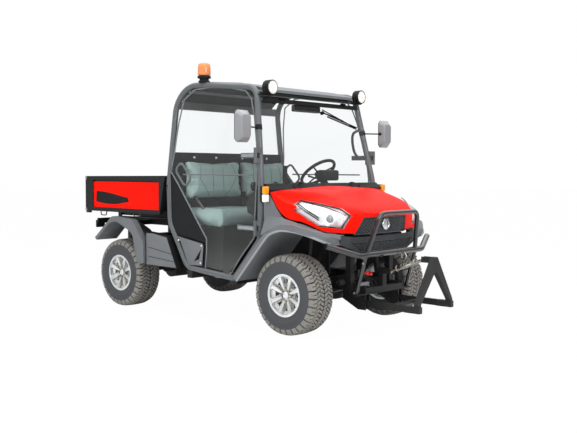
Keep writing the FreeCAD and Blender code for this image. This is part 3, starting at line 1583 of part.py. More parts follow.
def brush_guard():
    """Bent lower tube, upright hoop and two struts down to the hitch mount."""
    low = [(d.guard_end_x, -d.guard_end_half, d.guard_end_z, 0.0),
           (d.guard_front, -d.guard_half_bend, d.guard_height, 4 * d.guard_tube_radius),
           (d.guard_front, d.guard_half_bend, d.guard_height, 4 * d.guard_tube_radius),
           (d.guard_end_x, d.guard_end_half, d.guard_end_z, 0.0)]
    hoop = [(d.guard_front, -d.hoop_base_half, d.guard_height, 0.0),
            (d.hoop_top_x, -d.hoop_top_half, d.hoop_top_z, 3 * d.guard_tube_radius),
            (d.hoop_top_x, d.hoop_top_half, d.hoop_top_z, 3 * d.guard_tube_radius),
            (d.guard_front, d.hoop_base_half, d.guard_height, 0.0)]
    shape = pipe(low, d.guard_tube_radius)
    others = [pipe(hoop, d.hoop_tube_radius)]
    for side in (-1, 1):
        top = (d.guard_front, side * d.guard_strut_half, d.guard_height)
        foot = (d.guard_foot_x, side * d.guard_strut_half, d.guard_foot_z)
        others.append(rod(foot, top, d.guard_strut_radius))
    below = Part.makeBox(2 * d.post_width, 4 * d.guard_strut_half, d.post_width,
                         Vector(d.guard_foot_x - d.post_width, -2 * d.guard_strut_half,
                                d.guard_foot_z - d.post_width))
    return node(shaped(shape.fuse(others).cut(below)), "brush_guard")


def hitch_mount():
    """Side plates, cross tubes and the top link's clevis under the nose."""
    low = d.arm_pivot_z - d.arm_height
    back = d.rail_front - 2 * d.post_width
    front = d.arm_pivot_x + d.arm_height / 2
    tall = d.rail_bottom - d.seat_gap - low
    line = [(back, low + tall / 2), (d.arm_pivot_x - d.arm_height, low), (front, low),
            (front, d.guard_foot_z + d.post_width),
            (d.rail_front + d.seat_gap, d.guard_foot_z + d.post_width),
            (d.rail_front + d.seat_gap, d.rail_bottom - d.seat_gap),
            (back, d.rail_bottom - d.seat_gap)]
    plate_in = "hitch_half + arm_width / 2 + moving_gap"
    plate = prism("side", [outline(line)], plate_in, "bed_wall")
    other = prism("side", [outline(line)], "hitch_half - arm_width / 2 - moving_gap - bed_wall",
                  "bed_wall")
    pin = cylinder("y", "arm_pivot_x", "-(%s) - bed_wall" % plate_in, "arm_pivot_z",
                   "arm_pin_radius", "arm_width + 2 * moving_gap + 2 * bed_wall")
    foot = box("guard_foot_x - post_width / 2", "-guard_strut_half - guard_tube_radius",
               "guard_foot_z - bed_wall", "post_width",
               "guard_strut_half + guard_tube_radius - (%s)" % plate_in, "bed_wall - seat_gap")
    right = fuse(plate, other, pin, foot)
    tie = box("rail_front - 2 * post_width", "-(%s) - bed_wall" % plate_in,
              "rail_bottom - seat_gap - post_width", "post_width",
              "2 * (%s + bed_wall)" % plate_in, "post_width")
    bar = box("arm_pivot_x - post_width / 2", "-(%s) - bed_wall" % plate_in,
              "guard_foot_z - bed_wall", "post_width", "2 * (%s + bed_wall)" % plate_in,
              "post_width")
    mast = box("arm_pivot_x - post_width / 2", "-post_width / 2", "guard_foot_z", "post_width",
               "post_width", "link_rear_z - guard_foot_z + link_eye_radius")
    ears = []
    for y in ("link_radius + moving_gap", "-link_radius - moving_gap - bed_wall"):
        ears.append(box("arm_pivot_x", y, "link_rear_z - link_eye_radius",
                        "link_rear_x - arm_pivot_x + link_eye_radius", "bed_wall",
                        "2 * link_eye_radius"))
    pin = cylinder("y", "link_rear_x", "-link_radius - moving_gap - bed_wall", "link_rear_z",
                   "arm_pin_radius", "2 * (link_radius + moving_gap + bed_wall)")
    return node(fuse(right, mirrored(right), tie, bar, mast, *ears, pin), "hitch_mount")


def lift_arms():
    """Two lower arms joined by a cross bar, bored for the pivot and the frame's pins."""
    pieces = [box("arm_pivot_x", "-hitch_half - arm_width / 2", "arm_pivot_z - arm_height / 2",
                  "a_pivot_x - arm_pivot_x", "arm_width", "arm_height")]
    holes = []
    for station in ("arm_pivot_x", "a_pivot_x"):
        pieces.append(cylinder("y", station, "-hitch_half - arm_width / 2", "arm_pivot_z",
                               "arm_height / 2", "arm_width"))
        holes.append(cylinder("y", station, "-hitch_half - arm_width", "arm_pivot_z",
                              "arm_pin_radius + running_gap", "2 * arm_width"))
    right = cut(fuse(*pieces), *holes)
    tie = box("(arm_pivot_x + a_pivot_x) / 2", "arm_width / 2 - seat_gap - hitch_half",
              "arm_pivot_z - arm_height / 4", "arm_height / 2",
              "2 * (hitch_half - arm_width / 2 + seat_gap)", "arm_height / 2")
    return node(fuse(right, mirrored(right), tie), "lift_arms")


def a_frame_foot():
    """Right foot: a bar in line with the arm, its two cheeks and their pin."""
    low = "arm_pivot_z - arm_height / 2"
    start = "a_pivot_x + arm_height / 2 + moving_gap"
    pieces = [box(start, "-hitch_half - a_leg / 2", low, "arm_tip_x - (%s)" % start, "a_leg",
                  "arm_height")]
    for y in ("arm_width / 2 + running_gap - hitch_half",
              "-hitch_half - arm_width / 2 - running_gap - a_cheek"):
        pieces.append(box("a_pivot_x - arm_height / 2", y, low,
                          "arm_height + moving_gap + overrun", "a_cheek", "arm_height"))
    pieces.append(cylinder("y", "a_pivot_x", "-hitch_half - arm_width / 2 - running_gap - a_cheek",
                           "arm_pivot_z", "arm_pin_radius",
                           "arm_width + 2 * (running_gap + a_cheek)"))
    return fuse(*pieces)


def a_frame():
    """Quick-hitch triangle: feet pinned to the arms, two legs, a gusset and the link's ears."""
    foot_z = d.arm_pivot_z + d.arm_height / 2 - d.overrun
    top_z = foot_z + d.a_height
    half = d.a_leg / 2
    low = d.hitch_half
    right = [(-low - half, foot_z), (-low + half, foot_z), (-low + half, foot_z + half),
             (-half, top_z - 3 * d.a_leg)]
    left = [(-across, up) for across, up in right[::-1]]
    tip = [(half, top_z), (-half, top_z), (-low - half, foot_z + half)]
    corner = [(low + half, foot_z + half)]
    legs = prism("front", [outline(right + left + corner + tip)], "a_leg_x - a_leg / 2", "a_leg")
    ears = []
    for y in ("link_radius + moving_gap / 2", "-link_radius - moving_gap / 2 - bed_wall / 2"):
        ears.append(box("link_front_x - link_eye_radius", y, "link_front_z - link_eye_radius",
                        "a_leg_x - link_front_x + link_eye_radius - a_leg / 2 + overrun",
                        "bed_wall / 2", "2 * link_eye_radius"))
    pin = cylinder("y", "link_front_x", "-link_radius - moving_gap / 2 - bed_wall / 2",
                   "link_front_z", "arm_pin_radius / 2", "2 * link_radius + moving_gap + bed_wall")
    foot = a_frame_foot()
    return node(fuse(legs, foot, mirrored(foot), *ears, pin), "a_frame")


def top_link():
    """Turnbuckle between the mast and the top of the frame."""
    start = Vector(d.link_rear_x, 0, d.link_rear_z)
    end = Vector(d.link_front_x, 0, d.link_front_z)
    along = (end - start).normalize()
    first = start + along * (d.link_eye_radius / 2)
    last = end - along * (d.link_eye_radius + d.moving_gap)
    bar = rod(first, last, d.link_radius)
    sleeve = rod(start + along * 3 * d.link_eye_radius, last - along * 2 * d.link_eye_radius,
                 d.link_sleeve_radius)
    eye = Part.makeCylinder(d.link_eye_radius, 2 * d.link_radius,
                            start - Vector(0, d.link_radius, 0), Vector(0, 1, 0))
    hole = Part.makeCylinder(d.arm_pin_radius + d.running_gap, 4 * d.link_radius,
                             start - Vector(0, 2 * d.link_radius, 0), Vector(0, 1, 0))
    return node(shaped(bar.fuse([sleeve, eye]).cut(hole)), "top_link")


# Bed


def bed_line(inset, extra):
    """Side line of the bed's inside, leaning forward at its front wall."""
    foot = d.cab_back - d.bed_foot_gap - inset
    head = d.cab_back - d.bed_head_gap - inset
    back = d.bed_back + d.tailgate_thick + d.seat_gap
    return [(back, d.bed_floor_top - extra), (foot, d.bed_floor_top - extra),
            (head, d.bed_top), (back, d.bed_top)]


def bed_frame():
    """Rolled rims, lower rails and corner posts on the bed's outside."""
    back = "bed_back + tailgate_thick + seat_gap"
    pieces = []
    for y in ("bed_half_width - bed_rim", "-bed_half_width"):
        pieces.append(box(back, y, "bed_top - bed_rim_height",
                          "cab_back - bed_head_gap - (%s)" % back, "bed_rim",
                          "bed_rim_height"))
        pieces.append(box(back, y, "bed_bottom",
                          "cab_back - bed_foot_gap - (%s)" % back, "bed_rim",
                          "bed_rim_height"))
        pieces.append(box(back, y, "bed_bottom",
                          "skin_back_inset - tailgate_thick - 2 * seat_gap", "bed_rim",
                          "bed_top - bed_bottom"))
    foot = d.cab_back - d.bed_foot_gap
    head = d.cab_back - d.bed_head_gap
    start = foot - d.skin_front_inset + d.seat_gap
    line = [(start, d.bed_bottom), (foot, d.bed_bottom), (head, d.bed_top), (start, d.bed_top)]
    post = prism("side", [outline(line)], "bed_half_width - bed_rim", "bed_rim")
    for y in ("gate_hinge_y + running_gap", "-gate_hinge_y - gate_hinge_length - running_gap"):
        pieces.append(cylinder("y", "gate_hinge_x", y, "gate_hinge_z", "gate_barrel_radius",
                               "gate_hinge_length"))
        pieces.append(box("gate_hinge_x", y, "gate_hinge_z - gate_barrel_radius",
                          "2 * tailgate_thick", "gate_hinge_length",
                          "bed_bottom - seat_gap - gate_hinge_z + gate_barrel_radius"))
        pieces.append(box("bed_back + tailgate_thick + seat_gap", y,
                          "bed_bottom - overrun", "tailgate_thick / 2", "gate_hinge_length",
                          "2 * overrun"))
    for y in ("gate_hinge_y - gate_hinge_length", "-gate_hinge_y - overrun"):
        pieces.append(cylinder("y", "gate_hinge_x", y, "gate_hinge_z", "gate_pin_radius",
                               "gate_hinge_length + overrun"))
    return pieces + [post, mirrored(post)]


def bed_tub():
    """Cargo bed: floor, side and front walls with their frame, and two hinged sills."""
    half = "2 * (bed_half_width - bed_rim / 2)"
    outer = prism("side", [outline(bed_line(0.0, d.bed_floor))], "0", half, symmetric=True)
    low = bed_line(d.bed_rim, 0.0)
    low = [(along - d.overrun if along < 0 else along,
            up + d.overrun if up == d.bed_top else up) for along, up in low]
    inner = prism("side", [outline(low)], "0",
                  "2 * (bed_half_width - bed_rim / 2 - bed_sheet)", symmetric=True)
    sills = []
    top = "bed_floor_top - bed_floor + rail_wall - bed_sill_bottom"
    for y in ("subframe_inner", "-subframe_inner - subframe_width"):
        sills.append(box("bed_hinge_x - bed_sill_tail", y, "bed_sill_bottom",
                         "subframe_front - bed_hinge_x", "subframe_width", top))
    holes = cylinder("y", "bed_hinge_x", "-bed_half_width", "bed_hinge_z",
                     "bed_pin_radius + running_gap", "2 * bed_half_width")
    eye = box("rod_eye_x - post_width / 2", "cylinder_y + rod_radius + running_gap",
              "rod_eye_z - cylinder_eye_radius", "post_width",
              "subframe_inner - cylinder_y - rod_radius - running_gap + overrun",
              "bed_floor_top - bed_floor + rail_wall - rod_eye_z + cylinder_eye_radius")
    tub = cut(outer, inner)
    return node(cut(fuse(tub, *bed_frame(), *sills, eye), holes), "bed_tub")


def bed_skins():
    """Coloured panels on the bed's sides."""
    inner = "bed_half_width - bed_rim / 2 + seat_gap"
    back = d.bed_back + d.skin_back_inset
    front = d.cab_back - d.bed_foot_gap - d.skin_front_inset
    top = d.skin_bottom + d.skin_height
    line = [(back, d.skin_bottom), (front, d.skin_bottom), (front, top), (back, top)]
    panel = prism("side", [outline(line)], inner, "skin_thick")
    return node(both_sides(panel), "bed_skins")


def tailgate():
    """Tailgate between the bed's corners, hinged at its foot."""
    gate = box("bed_back", "-bed_half_width", "bed_bottom", "tailgate_thick",
               "2 * bed_half_width", "bed_top - bed_bottom")
    barrels = []
    bores = []
    for y in ("gate_hinge_y", "-bed_half_width - overrun"):
        bores.append(box("bed_back - overrun", y, "bed_bottom - overrun",
                         "tailgate_thick + 2 * overrun",
                         "bed_half_width - gate_hinge_y + overrun",
                         "gate_hinge_z + gate_barrel_radius + moving_gap - bed_bottom + overrun"))
    for y in ("gate_hinge_y - gate_hinge_length", "-gate_hinge_y"):
        barrels.append(cylinder("y", "gate_hinge_x", y, "gate_hinge_z", "gate_barrel_radius",
                                "gate_hinge_length"))
        bores.append(cylinder("y", "gate_hinge_x", y + " - overrun", "gate_hinge_z",
                              "gate_pin_radius + running_gap",
                              "gate_hinge_length + 2 * overrun"))
    return node(cut(fuse(gate, *barrels), *bores), "tailgate")


def cylinder_parts():
    """Lift cylinder beside the engine: barrel on the chassis, rod to the bed."""
    base = Vector(d.barrel_x, d.cylinder_y, d.barrel_z)
    eye = Vector(d.rod_eye_x, d.cylinder_y, d.rod_eye_z)
    along = (eye - base).normalize()
    length = (eye - base).Length
    mouth = base + along * (length - 2 * d.cylinder_eye_radius - d.moving_gap)
    barrel = rod(base, mouth, d.barrel_radius)
    hole = rod(base + along * 3 * d.cylinder_eye_radius, mouth + along * d.overrun,
               d.rod_radius + d.running_gap)
    lug = Part.makeCylinder(d.barrel_radius, 2 * d.barrel_radius,
                            base - Vector(0, d.barrel_radius, 0), Vector(0, 1, 0))
    pin = Part.makeCylinder(d.cylinder_pin_radius + d.running_gap, 4 * d.barrel_radius,
                            base - Vector(0, 2 * d.barrel_radius, 0), Vector(0, 1, 0))
    node(shaped(barrel.fuse(lug).cut(hole).cut(pin)), "lift_barrel")
    foot = base + along * (3 * d.cylinder_eye_radius + d.moving_gap)
    bar = rod(foot, eye, d.rod_radius)
    end = Part.makeCylinder(d.cylinder_eye_radius, 2 * d.rod_radius,
                            eye - Vector(0, d.rod_radius, 0), Vector(0, 1, 0))
    node(shaped(bar.fuse(end)), "lift_rod")


# Drive line


def engine():
    """Engine and gearbox as one plain block under the bed."""
    block = box("engine_back", "-engine_half_width",
                "rail_bottom + cross_member_height + 2 * seat_gap", "engine_length",
                "2 * engine_half_width", "engine_height")
    return node(group(block), "engine")


def muffler():
    """Silencer across the tail."""
    can = cylinder("y", "muffler_x", "seat_gap - rail_inner", "muffler_z", "muffler_radius",
                   "2 * (rail_inner - seat_gap)")
    return node(group(can), "muffler")


def leaf_spring(side):
    """Leaf spring bowed down over the axle tube."""
    rise = d.spring_rise
    low = d.tyre_diameter / 2 - d.dedion_drop + d.dedion_radius + d.seat_gap
    half = d.spring_half_length
    middle = -d.dedion_back
    upper = [(middle - half, low + rise), (middle, low), (middle + half, low + rise)]
    bend = half * half / rise
    path = [(x, z) for x, z in upper] + [(x, z + d.spring_thick) for x, z in upper[::-1]]
    corners = []
    for index, (x, z) in enumerate(path):
        corners.append((x, z, bend * LEAF_BEND_SHARE if index in (1, 4) else 0.0))
    start = "spring_y - spring_width / 2" if side < 0 else "-spring_y - spring_width / 2"
    return prism("side", [outline(corners)], start, "spring_width")


LEAF_BEND_SHARE = 0.9


def bellows(start, along, length):
    """Rubber bellows as a row of three round folds."""
    folds = []
    step = length / 3
    for index in range(3):
        low = start + along * (index * step)
        folds.append(Part.makeCone(d.shaft_radius * 1.2, d.bellows_radius, step / 2, low, along))
        folds.append(Part.makeCone(d.bellows_radius, d.shaft_radius * 1.2, step / 2,
                                   low + along * (step / 2), along))
    return folds


def half_shafts(station, end_y):
    """Shafts from the gear case towards both wheels, with their bellows."""
    height = d.tyre_diameter / 2
    pieces = []
    for side in (-1, 1):
        inner = Vector(station, side * (d.case_half_width - d.overrun), height)
        outer = Vector(station, side * end_y, height)
        pieces.append(rod(inner, outer, d.shaft_radius))
        along = Vector(0, side, 0)
        pieces += bellows(inner, along, d.bellows_length)
        pieces += bellows(outer - along * d.bellows_length, along, d.bellows_length)
    return pieces


def gear_case(station, facing):
    """Gear case across the vehicle between two half shafts."""
    height = d.tyre_diameter / 2
    low = Vector(station, -d.case_half_width, height)
    drum = Part.makeCylinder(d.case_radius, 2 * d.case_half_width, low, Vector(0, 1, 0))
    nose = Part.makeCone(d.case_radius * 0.7, d.case_radius * 0.35, d.case_radius * 2,
                         Vector(station, 0, height), Vector(facing, 0, 0))
    half = d.rail_inner - d.seat_gap
    low = height + d.bellows_radius + d.seat_gap
    beam = Part.makeBox(d.cross_member_width, 2 * half, height + d.case_radius - low,
                        Vector(station - d.cross_member_width / 2, -half, low))
    return drum.fuse([nose, beam])


DEDION_BEND_SHARE = 2.2


def rear_axle():
    """Gear case, half shafts, De Dion tube, carriers with spindles and leaf springs."""
    height = d.tyre_diameter / 2
    pieces = half_shafts(0.0, d.carrier_y)
    low = height - d.dedion_drop
    bend = DEDION_BEND_SHARE * d.dedion_radius
    tube = [(0.0, -d.carrier_y, height, 0.0),
            (-d.dedion_back, -d.carrier_y + d.carrier_length, low, bend),
            (-d.dedion_back, d.carrier_y - d.carrier_length, low, bend),
            (0.0, d.carrier_y, height, 0.0)]
    pieces.append(pipe(tube, d.dedion_radius))
    for side in (-1, 1):
        start = Vector(0, side * (d.carrier_y - d.carrier_length / 2), height)
        pieces.append(Part.makeCylinder(d.carrier_radius, d.carrier_length, start,
                                        Vector(0, side, 0)))
        hub = Vector(0, side * d.carrier_y, height)
        length = d.half_track + d.rim_half_width - d.rim_dish - d.carrier_y
        pieces.append(Part.makeCylinder(d.spindle_radius, length, hub, Vector(0, side, 0)))
    shape = gear_case(0.0, 1).fuse(pieces)
    axle = shaped(shape)
    return node(fuse(axle, leaf_spring(-1), leaf_spring(1)), "rear_axle")


def front_drive():
    """Front gear case, half shafts and the lower arms with their ball joints."""
    height = d.tyre_diameter / 2
    end = d.kingpin_y - d.carrier_radius
    pieces = half_shafts(d.wheelbase, end)
    for side in (-1, 1):
        ball = Vector(d.wheelbase, side * d.ball_joint_y, d.ball_joint_z)
        pieces.append(Part.makeSphere(d.ball_radius, ball))
        for fore in (-1, 1):
            root = Vector(d.wheelbase + fore * d.arm_spread, side * d.arm_root_y,
                          d.rail_bottom - d.seat_gap - d.arm_tube_radius)
            pieces.append(rod(root, ball, d.arm_tube_radius))
    station = d.wheelbase + d.knuckle_arm
    half = d.case_half_width - d.rack_radius
    housing = rod((station, -half, d.rack_z), (station, half, d.rack_z), d.rack_radius)
    lug = Part.makeBox(d.knuckle_arm - d.case_radius + d.overrun, 2 * d.rack_radius,
                       2 * d.rack_radius, Vector(d.wheelbase + d.case_radius - d.overrun,
                                                 -d.rack_radius, d.rack_z - d.rack_radius))
    bore = rod((station, -d.case_half_width, d.rack_z), (station, d.case_half_width, d.rack_z),
               d.rack_radius / 2 + d.running_gap)
    shape = gear_case(d.wheelbase, -1).fuse(pieces + [housing, lug])
    return node(shaped(shape.cut(bore)), "front_drive")


def knuckle(label, side):
    """Steering knuckle with its spindle, steering arm and strut."""
    height = d.tyre_diameter / 2
    ball = Vector(d.wheelbase, side * d.ball_joint_y, d.ball_joint_z)
    top = Vector(d.wheelbase, side * d.strut_top_y, d.strut_top_z - d.ball_radius)
    up = (top - ball).normalize()
    foot = ball + up * (d.ball_radius + d.running_gap)
    body_foot = ball + up * (2 * d.ball_radius)
    body_top = ball + up * ((top - ball).Length / 2 + d.carrier_radius)
    hub = Vector(d.wheelbase, side * d.kingpin_y, height)
    out = Vector(0, side, 0)
    carrier = Part.makeCylinder(d.carrier_radius, d.carrier_length,
                                hub - out * (d.carrier_length / 2), out)
    length = d.half_track + d.rim_half_width - d.rim_dish - d.kingpin_y
    spindle = Part.makeCylinder(d.spindle_radius, length, hub, out)
    stud = rod(foot, body_foot, d.ball_stud_radius)
    strut = rod(body_foot, body_top, d.strut_radius)
    piston = rod(body_top, top, d.strut_rod_radius)
    arm_end = hub + Vector(d.knuckle_arm, -side * d.carrier_length, 0)
    arm = rod(hub, arm_end, d.steering_arm_radius)
    head = Part.makeSphere(d.ball_radius, top)
    shape = carrier.fuse([spindle, stud, strut, piston, head, arm])
    return node(shaped(shape), label)


def tie_rods():
    """Steering rack bar with a tie rod to each knuckle's arm."""
    height = d.tyre_diameter / 2
    station = d.wheelbase + d.knuckle_arm
    pieces = []
    for side in (-1, 1):
        end = Vector(station, side * (d.kingpin_y - d.carrier_length - 3 * d.tie_rod_radius),
                     height)
        start = Vector(station, side * d.case_half_width, d.rack_z)
        pieces.append(rod(start, end, d.tie_rod_radius))
    rack = rod((station, -d.case_half_width, d.rack_z), (station, d.case_half_width, d.rack_z),
               d.rack_radius / 2)
    return node(shaped(rack.fuse(pieces)), "tie_rods")


# Steering wheel and column


def column_axis():
    """Direction of the steering column, from the dashboard up to the driver."""
    tilt = math.radians(d.column_tilt_deg)
    return Vector(-math.cos(tilt), 0, math.sin(tilt))


def steering_column():
    """Column housing from the dashboard to the wheel's boss."""
    hub = Vector(d.wheel_centre_x, d.column_y, d.wheel_centre_z)
    along = column_axis()
    start = hub - along * (d.steering_boss_length + d.seat_gap)
    foot = start - along * d.column_length
    return shaped(rod(foot, start, d.column_radius))


STEERING_SPOKES_DEG = (90.0, 210.0, 330.0)


def steering_wheel():
    """Steering wheel: rim, boss and three spokes."""
    hub = Vector(d.wheel_centre_x, d.column_y, d.wheel_centre_z)
    along = column_axis()
    rim_ring_shape = Part.makeTorus(d.steering_wheel_radius, d.steering_rim_radius, hub, along)
    boss = Part.makeCylinder(d.steering_boss_radius, d.steering_boss_length,
                             hub - along * d.steering_boss_length, along)
    flat = Vector(0, 1, 0)
    other = along.cross(flat)
    middle = hub - along * (d.steering_boss_length / 2)
    spokes = []
    for angle in STEERING_SPOKES_DEG:
        turn = math.radians(angle)
        out = flat * math.cos(turn) + other * math.sin(turn)
        spokes.append(rod(middle, hub + out * d.steering_wheel_radius,
                          d.steering_rim_radius / 2))
    return node(shaped(rim_ring_shape.fuse([boss] + spokes)), "steering_wheel")


# Small outside pieces


def mirrors():
    """Square mirrors on bent arms from the front posts."""
    root_station = cab_station(d.mirror_z)
    root_y = -(d.loop_half_width - lean(d.mirror_z))
    arm = pipe([(root_station, root_y - d.loop_tube_radius - 2 * d.running_gap, d.mirror_z, 0.0),
                (root_station, root_y - d.mirror_width / 2, d.mirror_z, d.mirror_depth / 2),
                (d.mirror_x, -d.mirror_y + d.mirror_width / 4, d.mirror_z, 0.0)],
               d.mirror_arm_radius)
    case = Part.makeBox(d.mirror_depth, d.mirror_width, d.mirror_height,
                        Vector(d.mirror_x - d.mirror_depth / 2, -d.mirror_y - d.mirror_width / 2,
                               d.mirror_z - d.mirror_height / 2))
    return node(both_sides(shaped(case.fuse(arm))), "mirrors")


def work_lamps(clearance):
    """Round work lamps on brackets beside the roof's visor."""
    lamp = cylinder("x", "work_lamp_x", "-work_lamp_y", "work_lamp_z", "work_lamp_radius",
                    "work_lamp_depth")
    bracket = box("work_lamp_x - rail_wall", "-work_lamp_y - post_width / 2",
                  "work_lamp_z - work_lamp_radius", "rail_wall + overrun", "post_width",
                  "work_lamp_radius")
    start = "cab_back + %s * cab_length + cross_tube_radius + seat_gap" % ROOF_BAR_SHARES[1]
    shelf = box(start, "-work_lamp_y - loop_tube_radius - post_width",
                "work_lamp_z - work_lamp_radius", "work_lamp_x - (%s)" % start,
                "loop_tube_radius + post_width * 3 / 2", "2 * rail_wall")
    return node(both_sides(cut(fuse(lamp, bracket, shelf), clearance)), "work_lamps")


def beacon(clearance):
    """Warning beacon on a stem from the right loop."""
    height = cab(0.0, 1.0)[1]
    y = -(d.loop_half_width - lean(height - d.loop_tube_radius))
    base = Part.makeCylinder(d.beacon_base_radius, d.beacon_base_height,
                             Vector(d.beacon_x, y, height - d.loop_tube_radius / 4))
    dome = Part.makeCylinder(d.beacon_dome_radius,
                             d.beacon_height - d.beacon_base_height,
                             Vector(d.beacon_x, y, height - d.loop_tube_radius / 4
                                    + d.beacon_base_height))
    piece = shaped(base.fuse(dome))
    return node(cut(piece, clearance), "beacon")


def signal_lamps():
    """Two-colour lamps on the cowl's ends."""
    lamp = box("signal_x - signal_depth / 2", "-cheek_outer - seat_gap - signal_width",
               "signal_bottom", "signal_depth", "signal_width", "signal_height")
    return node(both_sides(lamp), "signal_lamps")


def tail_lamps():
    """Tail lamps on the ends of the bed's subframe."""
    lamp = box("subframe_back - tail_lamp_depth - seat_gap", "-tail_lamp_y",
               "tail_lamp_z", "tail_lamp_depth", "tail_lamp_width", "tail_lamp_height")
    return node(both_sides(lamp), "tail_lamps")


def wiper():
    """Wiper arm and blade parked along the windshield's top."""
    run = Vector(d.shield_low_x - d.shield_high_x, 0, d.shield_low_z - d.shield_high_z)
    down = run.normalize()
    out = Vector(-down.z, 0, down.x)
    start = Vector(d.shield_high_x, d.wiper_pivot_y, d.shield_high_z)
    start = start + out * (d.glass_thick + d.wiper_radius + d.seat_gap) + down * d.post_width
    end = start + Vector(0, d.wiper_blade_length, 0) + down * (d.wiper_blade_length / 3)
    return node(shaped(rod(start, end, d.wiper_radius)), "wiper")


# Assembly and export

CORNERS = (("front_left", "wheelbase", 1), ("front_right", "wheelbase", -1),
           ("rear_left", "0", 1), ("rear_right", "0", -1))


def build():
    """Make every sub-part."""
    clearance = loop_clearance()
    for name, station, side in CORNERS:
        tyre("tyre_" + name, station, side)
        rim("rim_" + name, station, side)
    rops_frame()
    chassis_frame(clearance)
    floor_tub()
    rear_wall(clearance)
    cab_glass(clearance)
    roof()
    cowl(clearance)
    dashboard()
    seats()
    side_panels(clearance)
    doors()
    hood()
    grille()
    front_fascia()
    front_fenders()
    rear_fenders()
    brush_guard()
    hitch_mount()
    lift_arms()
    a_frame()
    top_link()
    bed_tub()
    bed_skins()
    tailgate()
    cylinder_parts()
    engine()
    muffler()
    rear_axle()
    front_drive()
    knuckle("knuckle_left", 1)
    knuckle("knuckle_right", -1)
    tie_rods()
    steering_wheel()
    mirrors()
    work_lamps(clearance)
    beacon(clearance)
    signal_lamps()
    tail_lamps()
    wiper()
    doc.recompute()


def check_and_write():
    """Refuse a failed object, then write one STEP file per sub-part."""
    for item in doc.Objects:
        if "Invalid" in item.State or "Error" in item.State:
            raise RuntimeError("%s (%s) failed: %s" % (item.Label, item.Name, item.State))
    for piece in nodes:
        shape = piece.Shape
        if shape.isNull() or not shape.isValid() or not shape.Solids:
            raise RuntimeError("%s has no valid solid" % piece.Label)
    os.makedirs("parts", exist_ok=True)
    for piece in nodes:
        piece.Shape.exportStep("parts/%s.step" % piece.Label)
        extent = piece.Shape.BoundBox
        print("%-20s %2d solids %9.0f cm3  x %6.0f %6.0f  y %6.0f %6.0f  z %6.0f %6.0f" % (
            piece.Label, len(piece.Shape.Solids), piece.Shape.Volume / 1000,
            extent.XMin, extent.XMax, extent.YMin, extent.YMax, extent.ZMin, extent.ZMax))


build()
check_and_write()
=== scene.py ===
# %% [markdown]
# A side-by-side utility vehicle, dressed over its CAD model. The CAD solids give every size and
# every joint, and this file gives the finishes and the small forms that the eye expects: tread,
# trim, mesh, lamps, stitching.

# %% Load the CAD model
import json
import math

import bpy
from mathutils import Matrix, Vector


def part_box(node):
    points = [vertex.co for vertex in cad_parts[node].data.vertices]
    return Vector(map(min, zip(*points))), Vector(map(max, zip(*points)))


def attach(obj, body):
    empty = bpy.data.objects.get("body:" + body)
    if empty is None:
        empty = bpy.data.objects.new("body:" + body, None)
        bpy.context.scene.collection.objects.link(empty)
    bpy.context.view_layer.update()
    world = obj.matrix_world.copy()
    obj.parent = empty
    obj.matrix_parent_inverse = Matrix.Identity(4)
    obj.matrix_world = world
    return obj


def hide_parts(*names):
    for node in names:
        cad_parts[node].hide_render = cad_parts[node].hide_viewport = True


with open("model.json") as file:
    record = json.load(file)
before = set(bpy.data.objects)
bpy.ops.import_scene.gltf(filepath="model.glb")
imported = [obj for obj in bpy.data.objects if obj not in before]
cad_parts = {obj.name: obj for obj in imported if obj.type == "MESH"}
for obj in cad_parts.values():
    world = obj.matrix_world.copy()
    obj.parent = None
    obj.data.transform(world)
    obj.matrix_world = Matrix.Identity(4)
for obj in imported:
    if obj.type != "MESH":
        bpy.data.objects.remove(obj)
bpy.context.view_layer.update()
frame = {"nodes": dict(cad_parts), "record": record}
nodes = frame["nodes"]

# %% [markdown]
# The camera stands where the photographer stood: ahead of the vehicle and to its right, at about
# hood height. Its place and lens were worked out from the wheels and the edges of the cab, so a
# point of the CAD model falls on the same pixel as in the photograph.

# %% Camera
IMAGE_WIDTH = 577
FOCAL_PIXELS = 831.222
SENSOR_MM = 36.0
CAMERA_PLACE = (5.05255, -5.31271, 1.25253)
CAMERA_YAW, CAMERA_PITCH, CAMERA_ROLL = 2.30718529, -0.0553305, 0.0044110

camera_data = bpy.data.cameras.new("camera")
camera_data.sensor_width = SENSOR_MM
camera_data.lens = FOCAL_PIXELS / IMAGE_WIDTH * SENSOR_MM
camera = bpy.data.objects.new("camera", camera_data)
bpy.context.scene.collection.objects.link(camera)
bpy.context.scene.camera = camera
camera.matrix_world = (Matrix.Translation(CAMERA_PLACE)
                       @ Matrix.Rotation(CAMERA_YAW - math.pi / 2, 4, "Z")
                       @ Matrix.Rotation(CAMERA_PITCH + math.pi / 2, 4, "X")
                       @ Matrix.Rotation(CAMERA_ROLL, 4, "Z"))
print("lens mm:", round(camera_data.lens, 2))

# %% [markdown]
# The photograph is a studio cut-out on white. A pale floor and a white world give the same. The
# world is brighter for the camera and through glass than for the light it sheds, so colours stay
# as they are written. Reflections see a bright ceiling over a dimmer horizon, which draws a
# highlight along the top of each tube.

# %% Material helpers
def linear(hex_colour):
    """An sRGB colour such as #C81E28 as the opaque linear values that shaders work in."""
    channels = [int(hex_colour[i:i + 2], 16) / 255 for i in (1, 3, 5)]
    return [c / 12.92 if c <= 0.04045 else ((c + 0.055) / 1.055) ** 2.4 for c in channels] + [1.0]


def add(owner, kind, sockets=None, **settings):
    """Add a shader node. Sockets take a node, one of its outputs, a #RRGGBB colour or a number."""
    node = owner.node_tree.nodes.new("ShaderNode" + kind)
    for name, value in settings.items():
        setattr(node, name, value)
    for name, value in (sockets or {}).items():
        if isinstance(value, bpy.types.Node):
            value = value.outputs[0]
        if isinstance(value, bpy.types.NodeSocket):
            owner.node_tree.links.new(value, node.inputs[name])
        else:
            node.inputs[name].default_value = linear(value) if isinstance(value, str) else value
    return node


